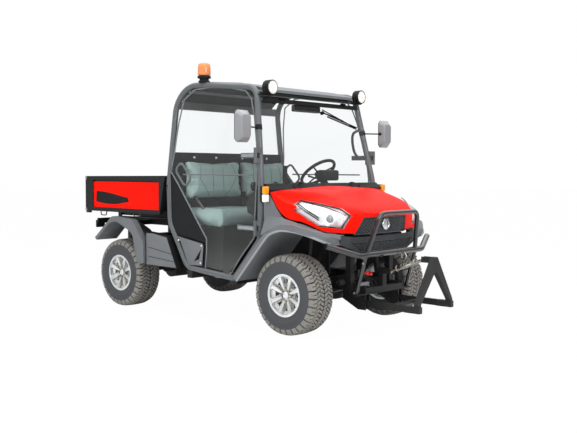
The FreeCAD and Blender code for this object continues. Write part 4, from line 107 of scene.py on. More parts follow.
def per_metre(millimetres):
    """The texture scale at which one feature is this many millimetres wide."""
    return 1000.0 / millimetres


def new_material(name):
    """A material with its Principled shader and the object's own coordinates."""
    material = bpy.data.materials.new(name)
    material.use_nodes = True
    shader = material.node_tree.nodes["Principled BSDF"]
    where = add(material, "TexCoord").outputs["Object"]
    return material, shader, where


# %% World and floor
SHED_STRENGTH = 0.55
HORIZON_STRENGTH, CEILING_STRENGTH = 0.5, 2.4
HORIZON_TOP, CEILING_EDGE = 0.3, 0.8
FLOOR_RADIUS = 60
FLOOR_GLOW = 0.985

world = bpy.data.worlds.new("studio")
bpy.context.scene.world = world
world.use_nodes = True
world.node_tree.nodes.clear()
path = add(world, "LightPath")
seen = add(world, "Math", {0: path.outputs["Is Camera Ray"],
                           1: path.outputs["Is Transmission Ray"]}, operation="ADD", use_clamp=True)
shed = add(world, "Background", {"Color": "#F4F6F8", "Strength": SHED_STRENGTH})
shown = add(world, "Background", {"Color": "#FFFFFF", "Strength": 1.0})
outward = add(world, "TexCoord").outputs["Generated"]
height = add(world, "SeparateXYZ", {"Vector": outward}).outputs["Z"]
ceiling = add(world, "MapRange", {"Value": height,
                                  "From Min": HORIZON_TOP, "From Max": CEILING_EDGE,
                                  "To Min": HORIZON_STRENGTH, "To Max": CEILING_STRENGTH})
mirrored_room = add(world, "Background", {"Color": "#FFFFFF", "Strength": ceiling})
unseen = add(world, "MixShader", {0: path.outputs["Is Glossy Ray"], 1: shed, 2: mirrored_room})
room = add(world, "MixShader", {0: seen, 1: unseen, 2: shown})
add(world, "OutputWorld", {"Surface": room})

floor_material, floor_shader, _ = new_material("floor_matt_white")
floor_shader.inputs["Base Color"].default_value = linear("#F2F2F0")
floor_shader.inputs["Roughness"].default_value = 0.9
floor_path = add(floor_material, "LightPath")
glow = add(floor_material, "Emission", {"Color": "#FFFFFF", "Strength": 1.0})
share = add(floor_material, "Math", {0: floor_path.outputs["Is Camera Ray"], 1: FLOOR_GLOW},
            operation="MULTIPLY")
floor_mix = add(floor_material, "MixShader", {0: share, 1: floor_shader, 2: glow})
floor_output = floor_material.node_tree.nodes["Material Output"]
floor_material.node_tree.links.new(floor_mix.outputs[0], floor_output.inputs["Surface"])

bpy.ops.object.select_all(action="DESELECT")
bpy.ops.mesh.primitive_circle_add(vertices=64, radius=FLOOR_RADIUS, fill_type="NGON")
floor = bpy.context.object
floor.name = "floor"
floor.data.materials.append(floor_material)


# %% Lamps
def area_lamp(name, place, target, size, power, mirrored=False):
    """A square soft box that looks at a point, seen in reflections where mirrored is set."""
    data = bpy.data.lights.new(name, "AREA")
    data.size = size
    data.energy = power
    lamp = bpy.data.objects.new(name, data)
    lamp.visible_glossy = mirrored
    bpy.context.scene.collection.objects.link(lamp)
    aim = (Vector(target) - Vector(place)).to_track_quat("-Z", "Y")
    lamp.matrix_world = Matrix.Translation(place) @ aim.to_matrix().to_4x4()


area_lamp("overhead_box", (0.6, -0.6, 5.2), (0.2, 0, 0.8), 4.5, 260)
area_lamp("front_box", (6.0, -1.5, 2.6), (0.4, 0, 0.8), 3.0, 150, mirrored=True)
area_lamp("side_box", (-0.6, -6.0, 2.4), (-0.2, 0, 0.8), 3.0, 150)
bpy.context.scene.view_settings.view_transform = "Standard"


# %% [markdown]
# Most surfaces share one recipe. A slow noise lets the colour and the gloss wander a little, as
# dust and use do, and a fine noise gives the moulded grain or the orange peel of paint. What
# differs is the real size of the grain in millimetres, how deep it is, and how shiny the skin
# between the grains is.

# %% A recipe for paint, plastic, rubber and metal
BUMP_STRENGTH = 0.6
COAT_ROUGHNESS = 0.04


def surface(name, colour, second, roughness, grain_mm, depth_mm, metallic=0.0, coat=0.0,
            blotch_mm=140.0, gloss_spread=0.08, ior=1.5):
    """Colour wanders to the second over blotch_mm, bumps of depth_mm stand grain_mm apart."""
    material, shader, where = new_material(name)
    slow = add(material, "TexNoise",
               {"Vector": where, "Scale": per_metre(blotch_mm), "Detail": 5.0, "Roughness": 0.6})
    tint = add(material, "Mix", {0: slow, 6: colour, 7: second}, data_type="RGBA")
    fine = add(material, "TexNoise",
               {"Vector": where, "Scale": per_metre(grain_mm), "Detail": 2.0, "Roughness": 0.5})
    bump = add(material, "Bump",
               {"Strength": BUMP_STRENGTH, "Distance": depth_mm / 1000, "Height": fine})
    gloss = add(material, "MapRange", {"Value": slow, "From Min": 0.3, "From Max": 0.7,
                                       "To Min": max(roughness - gloss_spread, 0.02),
                                       "To Max": min(roughness + gloss_spread, 1.0)})
    links = material.node_tree.links
    links.new(tint.outputs[2], shader.inputs["Base Color"])
    links.new(gloss.outputs["Result"], shader.inputs["Roughness"])
    links.new(bump.outputs["Normal"], shader.inputs["Normal"])
    shader.inputs["Metallic"].default_value = metallic
    shader.inputs["Coat Weight"].default_value = coat
    shader.inputs["Coat Roughness"].default_value = COAT_ROUGHNESS
    if metallic == 0.0:
        shader.inputs["IOR"].default_value = ior
    return material


# %% Finishes
# Each has a name, two colours, a roughness, and the width and depth of its grain in millimetres
finish = {
    # Vulcanised natural rubber: a charcoal sidewall, a crown painted near black as shade between
    # the blocks, pale tread blocks
    "tyre": surface("vulcanised_rubber_sidewall", "#36383B", "#414346", 0.7, 4, 0.2, blotch_mm=60),
    "groove_shade": surface("vulcanised_rubber_painted_groove_shade", "#0C0C0C", "#131312", 0.85, 4, 0.2),
    "tread": surface("pale_tread_rubber", "#8A8782", "#6B6863", 0.8, 5, 0.5, blotch_mm=22),
    # Cast aluminium alloy, face machined and lacquered: bright, with a fine turned grain
    "rim": surface("machined_cast_aluminium", "#E2E4E5", "#CFD2D4", 0.34, 2, 0.02, metallic=0.7),
    "bronze_line": surface("bronze_tinted_lacquer", "#B9A98A", "#A8977A", 0.4, 2, 0.01,
                           metallic=0.6),
    "valve_black": surface("soft_black_lacquer", "#2A2B2C", "#222324", 0.5, 2, 0.03),
    # Polyester powder coat on steel tube: satin, with the orange peel that baking leaves
    "frame": surface("satin_powder_coat", "#5A5E60", "#505355", 0.36, 2.5, 0.04, coat=0.3,
                     ior=1.35),
    "chassis": surface("black_chassis_paint", "#19191A", "#202021", 0.45, 3, 0.06, coat=0.1,
                       ior=1.3),
    "guard": surface("gloss_black_powder_coat", "#101112", "#161718", 0.22, 3, 0.03, coat=0.7),
    # Rolled polypropylene matting in the floor tub
    "tub": surface("polypropylene_floor", "#0F1210", "#151916", 0.65, 1.6, 0.12, ior=1.25),
    # Injection-moulded polypropylene, black and greys, with a spark-eroded grain
    "black_plastic": surface("moulded_black_polypropylene", "#151617", "#1C1D1E", 0.55, 1.5, 0.1,
                             ior=1.25),
    "grey_plastic": surface("moulded_grey_polypropylene", "#6A6D70", "#606366", 0.5, 1.5, 0.12,
                            ior=1.35),
    "fascia_grey": surface("dark_grey_bumper_moulding", "#343639", "#2D2F32", 0.5, 1.5, 0.1,
                           ior=1.35),
    # Light grey: the colour of the hinge straps and a plate on the valve block, and a painted
    # highlight along the front flare's lit edge
    "light_grey_and_edge_highlight": surface("light_grey_trim_and_painted_highlight", "#8F9396", "#85898C", 0.45, 1.5, 0.05, ior=1.4),
    "grille_black": surface("satin_black_moulding", "#4C4F52", "#45484B", 0.3, 2, 0.04),
    # Matt black: the colour of latches, wiper and buckles, and also painted shade in grooves, a
    # crease, a recess and behind the upper grille
    "shadow": surface("matt_black_backing", "#0B0B0C", "#101011", 0.8, 2, 0.1, ior=1.2),
    "label_white": surface("white_moulded_cap", "#FAFAF6", "#F0F0EC", 0.35, 1.5, 0.05),
    "coupler_red": surface("red_dust_cap", "#C8281E", "#B4221A", 0.45, 1.5, 0.08, ior=1.4),
    # Pigmented ABS under a clear lacquer: the hood and the bed's side skins
    "red": surface("lacquered_red_abs", "#FF1706", "#F51204", 0.34, 6, 0.015, coat=0.03,
                   blotch_mm=400, gloss_spread=0.03, ior=1.12),
    "mirror_shell": surface("painted_grey_shell", "#85888B", "#7A7D80", 0.34, 2, 0.03, coat=0.4),
    # Bare, plated and cast metals
    "engine": surface("cast_engine_block", "#4C4C4D", "#3E3E3F", 0.6, 3, 0.3, metallic=0.6),
    "steel": surface("bare_drawn_steel", "#A7A8A9", "#8F9091", 0.34, 1, 0.02, metallic=1.0),
    "driveline": surface("cast_iron_black", "#262627", "#313131", 0.55, 2.5, 0.25, metallic=0.2),
    "zinc": surface("zinc_plated_steel", "#C9C8C0", "#A9A79B", 0.3, 1.2, 0.02, metallic=1.0),
    "chrome": surface("bright_chrome_plate", "#E6E8EA", "#DADDE0", 0.08, 8, 0.01, metallic=1.0,
                      gloss_spread=0.02),
    "reflector": surface("aluminised_reflector", "#F4F6F7", "#E4E7E9", 0.28, 9, 0.2, metallic=0.35),
    # Coloured lenses
    "beacon": surface("amber_acrylic", "#E2874A", "#DA7C3E", 0.14, 5, 0.02, coat=0.5),
    "signal": surface("amber_and_clear_acrylic", "#EFA00A", "#E59408", 0.14, 4, 0.02, coat=0.5),
    "tail": surface("red_acrylic", "#A80E14", "#9C0C12", 0.14, 4, 0.02, coat=0.6),
    "smoked_lens": surface("ground_glass_lens", "#8C9296", "#5F666B", 0.05, 12, 0.02, coat=1.0),
    # Trim of the cab: vinyl, felt, rubber and webbing
    "vinyl": surface("expanded_vinyl", "#8CA09C", "#829591", 0.5, 1.4, 0.14, ior=1.35),
    "seam_thread": surface("bonded_seam_piping", "#55635F", "#4B5855", 0.6, 1, 0.1, ior=1.35),
    "headliner": surface("moulded_headliner_felt", "#26332F", "#202C28", 0.85, 1.2, 0.25, ior=1.2),
    # Pale grey, laid round each door opening: a painted highlight on the frame's inner edge
    "edge_highlight_grey": surface("pale_grey_painted_edge_highlight", "#75797A", "#6A6E6F", 0.6, 1.2, 0.06, ior=1.35),
    "rubber_black": surface("black_hose_rubber", "#1B1C1E", "#242527", 0.5, 1.5, 0.06, ior=1.4),
    "webbing": surface("woven_polyester_webbing", "#17181A", "#1F2022", 0.8, 1.1, 0.3, ior=1.25),
}
print("finishes:", len(finish))

# %% [markdown]
# The cab glass is flat and lightly tinted. A thin pane is best made of a clear film and a weak
# mirror: what is behind it stays sharp, and only a glancing look turns it into a reflector. The
# Fresnel node does that.

# %% Glass and lamp lenses
def pane(name, tint, film, mirror):
    """A thin sheet of glass: film is the share of its own milky colour, mirror scales its gloss."""
    material, shader, where = new_material(name)
    nodes_of = material.node_tree.nodes
    slow = add(material, "TexNoise", {"Vector": where, "Scale": per_metre(260), "Detail": 3.0})
    smear = add(material, "MapRange", {"Value": slow, "To Min": film * 0.8, "To Max": film * 1.2})
    clear = add(material, "BsdfTransparent", {"Color": tint})
    skin = add(material, "BsdfDiffuse", {"Color": tint})
    body = add(material, "MixShader", {0: smear, 1: clear, 2: skin})
    polish = add(material, "BsdfGlossy", {"Color": "#FFFFFF", "Roughness": 0.02})
    edge = add(material, "Fresnel", {"IOR": 1.45})
    most = add(material, "Math", {0: edge, 1: mirror}, operation="MULTIPLY")
    glass = add(material, "MixShader", {0: most, 1: body, 2: polish})
    material.node_tree.links.new(glass.outputs[0], nodes_of["Material Output"].inputs["Surface"])
    nodes_of.remove(shader)
    return material


finish["glass"] = pane("tinted_safety_glass", "#FEFFFF", film=0.002, mirror=0.08)
finish["lens"] = pane("clear_polycarbonate_lens", "#FCFDFE", film=0.01, mirror=0.35)

# %% Give every CAD node its finish
for part in frame["record"]["subparts"]:
    node = nodes[part["node"]]
    node.data.materials.clear()
    node.data.materials.append(finish[part["material_slot"]])
# The bumper moulding shares a slot with the other grey plastic, but is a darker batch of it
nodes["front_fascia"].data.materials[0] = finish["fascia_grey"]

# %% [markdown]
# Everything that follows is modelled as by hand: a primitive is added where it belongs, pulled
# into shape in edit mode and finished with a modifier. These helpers hold the few moves that each
# piece needs. Sizes are given as on the workshop drawing, in millimetres from the rear axle, the
# centre line and the ground.

# %% Places on the drawing
REAR_AXLE_X = (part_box("tyre_rear_right")[0].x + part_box("tyre_rear_right")[1].x) / 2


def at(x, y, z):
    """A place on the drawing as a point of the scene."""
    return Vector((REAR_AXLE_X + x / 1000, y / 1000, z / 1000))


def on_drawing(point):
    """A point of the scene as a place on the drawing."""
    return ((point.x - REAR_AXLE_X) * 1000, point.y * 1000, point.z * 1000)


def box_on_drawing(name):
    """The low and high corners of a CAD node, as places on the drawing."""
    low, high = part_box(name)
    return on_drawing(low), on_drawing(high)


print("rear axle at x =", round(REAR_AXLE_X, 4))


# %% Selecting, settling and editing
# Points closer than this become one: in a copied CAD mesh, and where a lathe shape closes
WELD_METRES, LATHE_WELD_METRES = 0.0001, 0.00005


def pick(*pieces):
    """Select these objects alone and make the first one active."""
    bpy.ops.object.select_all(action="DESELECT")
    for piece in pieces:
        piece.select_set(True)
    bpy.context.view_layer.objects.active = pieces[0]
    return pieces[0]


def settle(piece):
    """Put the object's place, turn and size into its mesh."""
    pick(piece)
    bpy.ops.object.transform_apply(location=True, rotation=True, scale=True)
    return piece


def fresh(operator, **settings):
    """A new primitive, settled."""
    bpy.ops.object.select_all(action="DESELECT")
    operator(**settings)
    return settle(bpy.context.object)


def edit(piece, operator, **settings):
    """Run one mesh operator on the whole piece in edit mode."""
    pick(piece)
    bpy.ops.object.mode_set(mode="EDIT")
    bpy.ops.mesh.select_all(action="SELECT")
    operator(**settings)
    bpy.ops.object.mode_set(mode="OBJECT")
    return piece


def face_outwards(piece):
    return edit(piece, bpy.ops.mesh.normals_make_consistent, inside=False)


def extruded(piece, offset):
    """Extrude a sheet by a vector in millimetres."""
    edit(piece, bpy.ops.mesh.extrude_region_move,
         TRANSFORM_OT_translate={"value": Vector(offset) / 1000})
    return face_outwards(piece)


def modified(piece, kind, **settings):
    """Add one modifier and apply it."""
    pick(piece)
    modifier = piece.modifiers.new("step", kind)
    for name, value in settings.items():
        setattr(modifier, name, value)
    bpy.ops.object.modifier_apply(modifier="step")
    return piece


def round_edges(piece, width, segments=2, sharper_than=30):
    """Bevel the edges that turn by more than sharper_than degrees, width in millimetres."""
    if not width:
        return piece
    return modified(piece, "BEVEL", width=width / 1000, segments=segments, limit_method="ANGLE",
                    angle_limit=math.radians(sharper_than))


# %% Basic shapes
def block(low, high, bevel=0.0, segments=2):
    """A rectangular block between two drawing corners, its edges rounded by bevel millimetres."""
    low, high = at(*low), at(*high)
    piece = fresh(bpy.ops.mesh.primitive_cube_add, size=1, location=(low + high) / 2,
                  scale=high - low)
    return round_edges(piece, bevel, segments)


def bar(start, end, radius, tip=None, sides=20, bevel=0.0):
    """A round bar between two drawing points, tapering to tip where one is given."""
    start, end = at(*start), at(*end)
    along = end - start
    piece = fresh(bpy.ops.mesh.primitive_cone_add, vertices=sides, radius1=radius / 1000,
                  radius2=(radius if tip is None else tip) / 1000, depth=along.length,
                  location=(start + end) / 2, rotation=along.to_track_quat("Z", "Y").to_euler())
    return round_edges(piece, bevel)


def ball(centre, radius, sides=20):
    return fresh(bpy.ops.mesh.primitive_uv_sphere_add, segments=sides, ring_count=sides // 2,
                 radius=radius / 1000, location=at(*centre))


def ring(centre, axis, radius, thick, sides=36, round_sides=10):
    """A torus about an axis."""
    return fresh(bpy.ops.mesh.primitive_torus_add, major_radius=radius / 1000,
                 minor_radius=thick / 1000, major_segments=sides, minor_segments=round_sides,
                 location=at(*centre), rotation=Vector(axis).to_track_quat("Z", "Y").to_euler())


def plate(outline, depth, bevel=0.0, segments=2):
    """A flat plate: a circle with its corners pulled to the outline, extruded by a vector in mm."""
    piece = fresh(bpy.ops.mesh.primitive_circle_add, vertices=len(outline), fill_type="NGON")
    for vertex, place in zip(piece.data.vertices, outline):
        vertex.co = at(*place)
    return round_edges(extruded(piece, depth), bevel, segments)


def side_plate(y, outline, depth=3, bevel=1.2):
    """A plate that stands out from the right side at y, its outline as (station, height) pairs."""
    return plate([(x, y, z) for x, z in outline], (0, -depth, 0), bevel=bevel)


def tube(route, radius, closed=False, smooth=False, round_sides=3):
    """A round tube or strip along drawing points, with soft corners where smooth is set."""
    curve = bpy.data.curves.new("route", "CURVE")
    curve.dimensions = "3D"
    curve.bevel_depth = radius / 1000
    curve.bevel_resolution = round_sides
    curve.resolution_u = 6
    curve.use_fill_caps = not closed
    spline = curve.splines.new("NURBS" if smooth else "POLY")
    spline.points.add(len(route) - 1)
    for point, place in zip(spline.points, route):
        point.co = (*at(*place), 1)
    spline.use_cyclic_u = closed
    if smooth:
        spline.order_u = 3
        spline.use_endpoint_u = not closed
    piece = bpy.data.objects.new("tube", curve)
    bpy.context.scene.collection.objects.link(piece)
    pick(piece)
    bpy.ops.object.convert(target="MESH")
    return bpy.context.object


def legs(route, steps):
    """Evenly spaced places on each leg of a route, without its last corner."""
    return [tuple(p + (q - p) * step / steps for p, q in zip(one, two))
            for one, two in zip(route, route[1:]) for step in range(steps)]


# %% Joining, painting and hanging on a body
def join(*pieces):
    """One object of several. Each part keeps the finish it was given."""
    first = pick(*pieces)
    if len(pieces) > 1:
        bpy.ops.object.join()
    return first


def paint(look, *pieces):
    """Join pieces and give them one finish."""
    piece = join(*pieces)
    piece.data.materials.clear()
    piece.data.materials.append(finish[look])
    return piece


def painted_blocks(*rows):
    """Blocks with their finish, from rows of finish, low corner, high corner and bevel."""
    return [paint(look, block(low, high, bevel)) for look, low, high, bevel in rows]


def copy_of(piece, across=False):
    """A copy with its own mesh, mirrored to the other side where across is set."""
    other = piece.copy()
    other.data = piece.data.copy()
    bpy.context.scene.collection.objects.link(other)
    if across:
        other.scale.y = -1
        face_outwards(settle(other))
    return other


def both(*pieces):
    """The joined pieces and their mirror image as one."""
    piece = join(*pieces)
    return join(piece, copy_of(piece, across=True))


def node_copy(name):
    """A free copy of a CAD node."""
    piece = copy_of(nodes[name])
    piece.parent = None
    return piece


def moved(piece, offset):
    """Shift a finished piece by a vector in metres and settle it again."""
    piece.location = offset
    return settle(piece)


def complete(name, body, slot, *pieces, look=None, crease=35):
    """Join pieces, hang them on a body, and give them a look, or their slot's if they have none."""
    piece = join(*pieces)
    if look or not piece.data.materials:
        paint(look or slot, piece)
    piece.name = name
    piece.data.name = name
    bpy.ops.object.shade_smooth_by_angle(angle=math.radians(crease))
    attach(piece, body)
    print(name, "on", body + ":", len(piece.data.polygons), "faces")
    return piece


# %% [markdown]
# The tyres are all-terrain ones, with a smooth dark sidewall and a tread of separate blocks. The
# blocks are lighter than the sidewall, and the crown between them is painted near black as shade.
# One pitch of the tread is shaped at the top of the wheel, and the spin tool copies it round the
# carcass, a lathe shape.

# %% Where the wheels stand, and shapes round an axle
CORNERS = {"front_left": 1, "front_right": -1, "rear_left": 1, "rear_right": -1}
wheel_centre = {}
for corner in CORNERS:
    low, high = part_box("tyre_" + corner)
    wheel_centre[corner] = (low + high) / 2
TYRE_RADIUS = (high.z - low.z) / 2 * 1000
TYRE_HALF = (high.y - low.y) / 2 * 1000
# Every shape is made once, at the front right wheel
MODEL = wheel_centre["front_right"].copy()
MODEL_X, MODEL_Y, MODEL_Z = on_drawing(MODEL)


def lathe(profile, steps=64):
    """Spin a closed profile of (across, radius) millimetres about the model wheel's axle."""
    piece = fresh(bpy.ops.mesh.primitive_circle_add, vertices=len(profile), fill_type="NOTHING")
    for vertex, (across, radius) in zip(piece.data.vertices, profile):
        vertex.co = MODEL + Vector((0, across / 1000, radius / 1000))
    edit(piece, bpy.ops.mesh.spin, steps=steps, angle=math.tau, center=MODEL, axis=(0, 1, 0))
    edit(piece, bpy.ops.mesh.remove_doubles, threshold=LATHE_WELD_METRES)
    return face_outwards(piece)


def turned_round(piece, count):
    """Copy a shape count times round the model wheel's axle, with the spin tool."""
    return edit(piece, bpy.ops.mesh.spin, steps=count - 1, dupli=True,
                angle=math.tau * (count - 1) / count, center=MODEL, axis=(0, 1, 0))


print("tyre radius and half width mm:", round(TYRE_RADIUS), round(TYRE_HALF))

# %% Carcass and tread blocks
# The sidewall from bead to crown, as shares of half the tyre's width and of its radius
SIDEWALL = ((0.76, 0.510), (0.90, 0.530), (0.965, 0.60), (0.985, 0.66), (0.998, 0.668), (1.0, 0.69),
            (0.985, 0.70), (0.975, 0.80), (0.955, 0.86), (0.96, 0.872), (0.93, 0.89), (0.86, 0.925),
            (0.66, 0.944), (0.35, 0.952), (0.0, 0.954))
INNER_WALL = ((0.0, 0.80), (0.70, 0.56), (0.70, 0.505))
# Beyond this share of the radius the carcass takes the near-black finish: painted shade between the
# blocks
GROOVE_SHADE_FROM = 0.93
BLOCK_MM = 15.0
PITCHES = 30
# Blocks of one pitch: inner and outer edge as (share of half the width, millimetres above the
# tyre's radius), first and last share of the pitch, lean of the outer edge in pitches
BLOCKS = (((0.62, -3), (0.86, -12), 0.06, 0.44, 0.05), ((0.62, -3), (0.86, -12), 0.52, 0.90, 0.05),
          ((0.86, -12), (0.965, -38), 0.08, 0.88, 0.0), ((0.34, -1), (0.585, -3), 0.12, 0.50, 0.30),
          ((0.34, -1), (0.585, -3), 0.62, 0.96, 0.30), ((0.045, 0), (0.30, -1), 0.05, 0.42, -0.28),
          ((0.045, 0), (0.30, -1), 0.55, 0.90, -0.28))


def carcass():
    """The tyre without its blocks: bead, sidewall with two raised rings, shoulder, and a crown
    painted near black as shade.
    """
    half = [(across * TYRE_HALF, up * TYRE_RADIUS) for across, up in INNER_WALL + SIDEWALL]
    piece = paint("tyre", lathe(half + [(-across, up) for across, up in half[-2:0:-1]], steps=72))
    # The crown's faces get the near-black finish, painted shade between the tread blocks
    piece.data.materials.append(finish["groove_shade"])
    for face in piece.data.polygons:
        away = face.center - MODEL
        face.material_index = int(math.hypot(away.x, away.z) * 1000 > GROOVE_SHADE_FROM * TYRE_RADIUS)
    return piece


def tread_block(half_width, inner, outer, turn_from, turn_to, lean):
    """One block between two turns of the wheel, its outer edge skewed by lean."""
    piece = fresh(bpy.ops.mesh.primitive_cube_add, size=1)
    for vertex in piece.data.vertices:
        far = vertex.co.x > 0
        across, depth = outer if far else inner
        if vertex.co.z < 0:
            depth -= BLOCK_MM
        angle = (turn_to if vertex.co.y > 0 else turn_from) + (lean if far else 0)
        reach = (TYRE_RADIUS + depth) / 1000
        vertex.co = MODEL + Vector((math.sin(angle) * reach, across * half_width / 1000,
                                    math.cos(angle) * reach))
    return round_edges(piece, 1.6, segments=1, sharper_than=20)


def tread():
    """One pitch of shoulder, middle and centre blocks on both halves, spun round the wheel."""
    pitch = math.tau / PITCHES
    pieces = [tread_block(TYRE_HALF * side, inner, outer, shift + first * pitch,
                          shift + last * pitch, lean * pitch)
              for side, shift in ((1, 0.0), (-1, pitch / 2))
              for inner, outer, first, last, lean in BLOCKS]
    return paint("tread", face_outwards(turned_round(join(*pieces), PITCHES)))


# %% Four tyres
model_tyre = join(carcass(), tread())
for corner in CORNERS:
    tyre = moved(copy_of(model_tyre), wheel_centre[corner] - MODEL)
    complete("all_terrain_tyre_" + corner, "wheel_" + corner, "tyre", tyre, crease=40)
    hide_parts("tyre_" + corner)
bpy.data.objects.remove(model_tyre)

# %% [markdown]
# The alloy rims have eight broad spokes between eight wedge-shaped windows. Their machined faces
# carry a thin bronze line, and the hub has a cap inside a ring of lug nuts. The CAD rim gives the
# dish and the windows, so only the raised spokes, lines, cap and nuts are added, each made once
# and spun round the axle.

# %% Rim details
SPOKES = 8
# Half of the angle between two windows: the spokes stand there
SPOKE_TURN = math.radians(22.5)
# Corners of half a spoke: share of the rim's radius, distance from its middle, and behind the lip
SPOKE_HALF = ((0.27, 10, 24), (0.52, 16, 18), (0.80, 19, 10), (0.88, 25, 6))
LUG_NUTS, LUG_REACH = 4, 50
# Profiles: the lip as (behind the face, share of the rim's radius), the cap as (behind, radius)
LIP = ((-1.5, 0.94), (-1.5, 0.99), (5, 1.0), (12, 0.93))
CAP = ((14, 2), (15, 20), (21, 27), (50, 30), (50, 2))
rim_low, rim_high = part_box("rim_front_right")
RIM_RADIUS = (rim_high.z - rim_low.z) / 2 * 1000
RIM_FACE = (MODEL.y - rim_low.y) * 1000


def on_spoke(share, aside, behind):
    """Drawing point on the model wheel's first spoke."""
    reach = share * RIM_RADIUS
    x = MODEL_X + reach * math.sin(SPOKE_TURN) + aside * math.cos(SPOKE_TURN)
    z = MODEL_Z + reach * math.cos(SPOKE_TURN) - aside * math.sin(SPOKE_TURN)
    return (x, MODEL_Y - RIM_FACE + behind, z)


def axial(x, z, near, far, radius, **settings):
    """A bar along the axle between two distances behind the rim's face."""
    face = MODEL_Y - RIM_FACE
    return bar((MODEL_X + x, face + near, MODEL_Z + z), (MODEL_X + x, face + far, MODEL_Z + z),
               radius, **settings)


def rim_details():
    """Everything that dresses one rim, as one object."""
    near_side = [on_spoke(*corner) for corner in SPOKE_HALF]
    far_side = [on_spoke(share, -aside, behind) for share, aside, behind in SPOKE_HALF[::-1]]
    spokes = paint("rim", turned_round(plate(near_side + far_side, (0, 20, 0), bevel=3), SPOKES))
    lines = join(*[tube([on_spoke(share, side * (aside - 3), behind)
                         for share, aside, behind in SPOKE_HALF], 1.5, round_sides=1)
                   for side in (1, -1)])
    paint("bronze_line", turned_round(lines, SPOKES))
    hoop = paint("bronze_line", ring((MODEL_X, MODEL_Y - RIM_FACE + 3.5, MODEL_Z), (0, 1, 0),
                                     RIM_RADIUS * 0.93, 1.8))
    lip = paint("rim", lathe([(behind - RIM_FACE, share * RIM_RADIUS) for behind, share in LIP]))
    cap = paint("rim", lathe([(behind - RIM_FACE, radius) for behind, radius in CAP], steps=32))
    nut = axial(0, LUG_REACH, 14, 44, 10, sides=6, bevel=1.5)
    stud = axial(0, LUG_REACH, 9, 20, 5.5, sides=12)
    nuts = paint("zinc", turned_round(join(nut, stud), LUG_NUTS))
    valve = paint("valve_black", axial(0.83 * RIM_RADIUS, 20, 4, 34, 4))
    return join(spokes, lines, hoop, lip, cap, nuts, valve)


rim_model = rim_details()
for corner, side in CORNERS.items():
    details = copy_of(rim_model, across=side > 0)
    moved(details, wheel_centre[corner] - MODEL * Vector((1, -side, 1)))
    complete("rim_trim_" + corner, "wheel_" + corner, "rim", details)
bpy.data.objects.remove(rim_model)
print("rim radius mm:", round(RIM_RADIUS), "face at", round(RIM_FACE), "from the middle")

# %% [markdown]
# The face of the vehicle. Hood and grille share one raked and bowed face, so one formula gives the
# station of that face at any height and distance from the centre line, and both honeycombs are
# laid on such a formula.

# %% Where the nose and the fascia stand
NOSE_LOW_X, NOSE_LOW_Z = 2432, 764
NOSE_RAKE = 38 / 137
NOSE_RADIUS = 2000
FASCIA_PLAN = ((0, 2452), (99, 2452), (247, 2445), (413, 2430), (494, 2397))


def nose_face(y, z):
    """Station of the hood's and grille's bowed face."""
    bow = NOSE_RADIUS - math.sqrt(NOSE_RADIUS ** 2 - y ** 2)
    return NOSE_LOW_X + NOSE_RAKE * (z - NOSE_LOW_Z) - bow


def fascia_face(y, z):
    """Station of the fascia's face, read off its plan."""
    for (inner, x_inner), (outer, x_outer) in zip(FASCIA_PLAN, FASCIA_PLAN[1:]):
        if abs(y) <= outer:
            return x_inner + (x_outer - x_inner) * (abs(y) - inner) / (outer - inner)
    return FASCIA_PLAN[-1][1]


print("nose at the centre:", round(nose_face(0, 858)), "fascia:", fascia_face(0, 700))

# %% [markdown]
# Both grilles are panels of four corners, low_half wide at the low height and high_half wide at
# the high one on each side of the centre line. What is laid on one stands setback behind its face.

# %% Honeycomb, edge strip and backing of a grille
MESH_PITCH = 22
MESH_WALL = 4.0
STRIP_STEPS = 12


def honeycomb(low, high, low_half, high_half, face, setback, depth):
    """Hexagonal cells, each a tube of depth millimetres, on a panel."""
    radius = MESH_PITCH / math.sqrt(3)
    cell = fresh(bpy.ops.mesh.primitive_circle_add, vertices=6, radius=radius / 1000,
                 fill_type="NGON", rotation=(0, math.pi / 2, 0))
    edit(cell, bpy.ops.mesh.inset, thickness=MESH_WALL / 2000)
    bpy.ops.object.mode_set(mode="EDIT")
    bpy.ops.mesh.delete(type="FACE")
    bpy.ops.object.mode_set(mode="OBJECT")
    extruded(cell, (-depth, 0, 0))
    cells = []
    columns = int(max(low_half, high_half) / (1.5 * radius))
    rows = int((high - low) / MESH_PITCH)
    for column in range(-columns, columns + 1):
        for row in range(rows + 1):
            y = column * 1.5 * radius
            z = low + MESH_PITCH * (row + (column % 2) / 2 + 0.25)
            half = low_half + (high_half - low_half) * (z - low) / (high - low)
            if abs(y) + radius * 0.6 < half and z + MESH_PITCH * 0.4 < high:
                other = copy_of(cell)
                other.location = (0, y / 1000, z / 1000)
                cells.append(other)
    bpy.data.objects.remove(cell)
    panel = settle(join(*cells))
    for vertex in panel.data.vertices:
        y, z = vertex.co.y * 1000, vertex.co.z * 1000
        vertex.co.x += at(face(y, z) - setback, 0, 0).x
    return panel


def edge_strip(low, high, low_half, high_half, face, setback, radius):
    """Round strip round a panel."""
    corners = [(low_half, low), (high_half, high), (-high_half, high), (-low_half, low)]
    route = [(face(y, z) - setback, y, z) for y, z in legs(corners + corners[:1], STRIP_STEPS)]
    return tube(route, radius, closed=True, round_sides=2)


def bowed_panel(low, high, low_half, high_half, face, setback, thick):
    """Plate of a thickness laid on a panel."""
    piece = fresh(bpy.ops.mesh.primitive_grid_add, x_subdivisions=24, y_subdivisions=4, size=2)
    for vertex in piece.data.vertices:
        share = (vertex.co.y + 1) / 2
        z = low + (high - low) * share
        y = vertex.co.x * (low_half + (high_half - low_half) * share)
        vertex.co = at(face(y, z) - setback, y, z)
    return extruded(piece, (-thick, 0, 0))


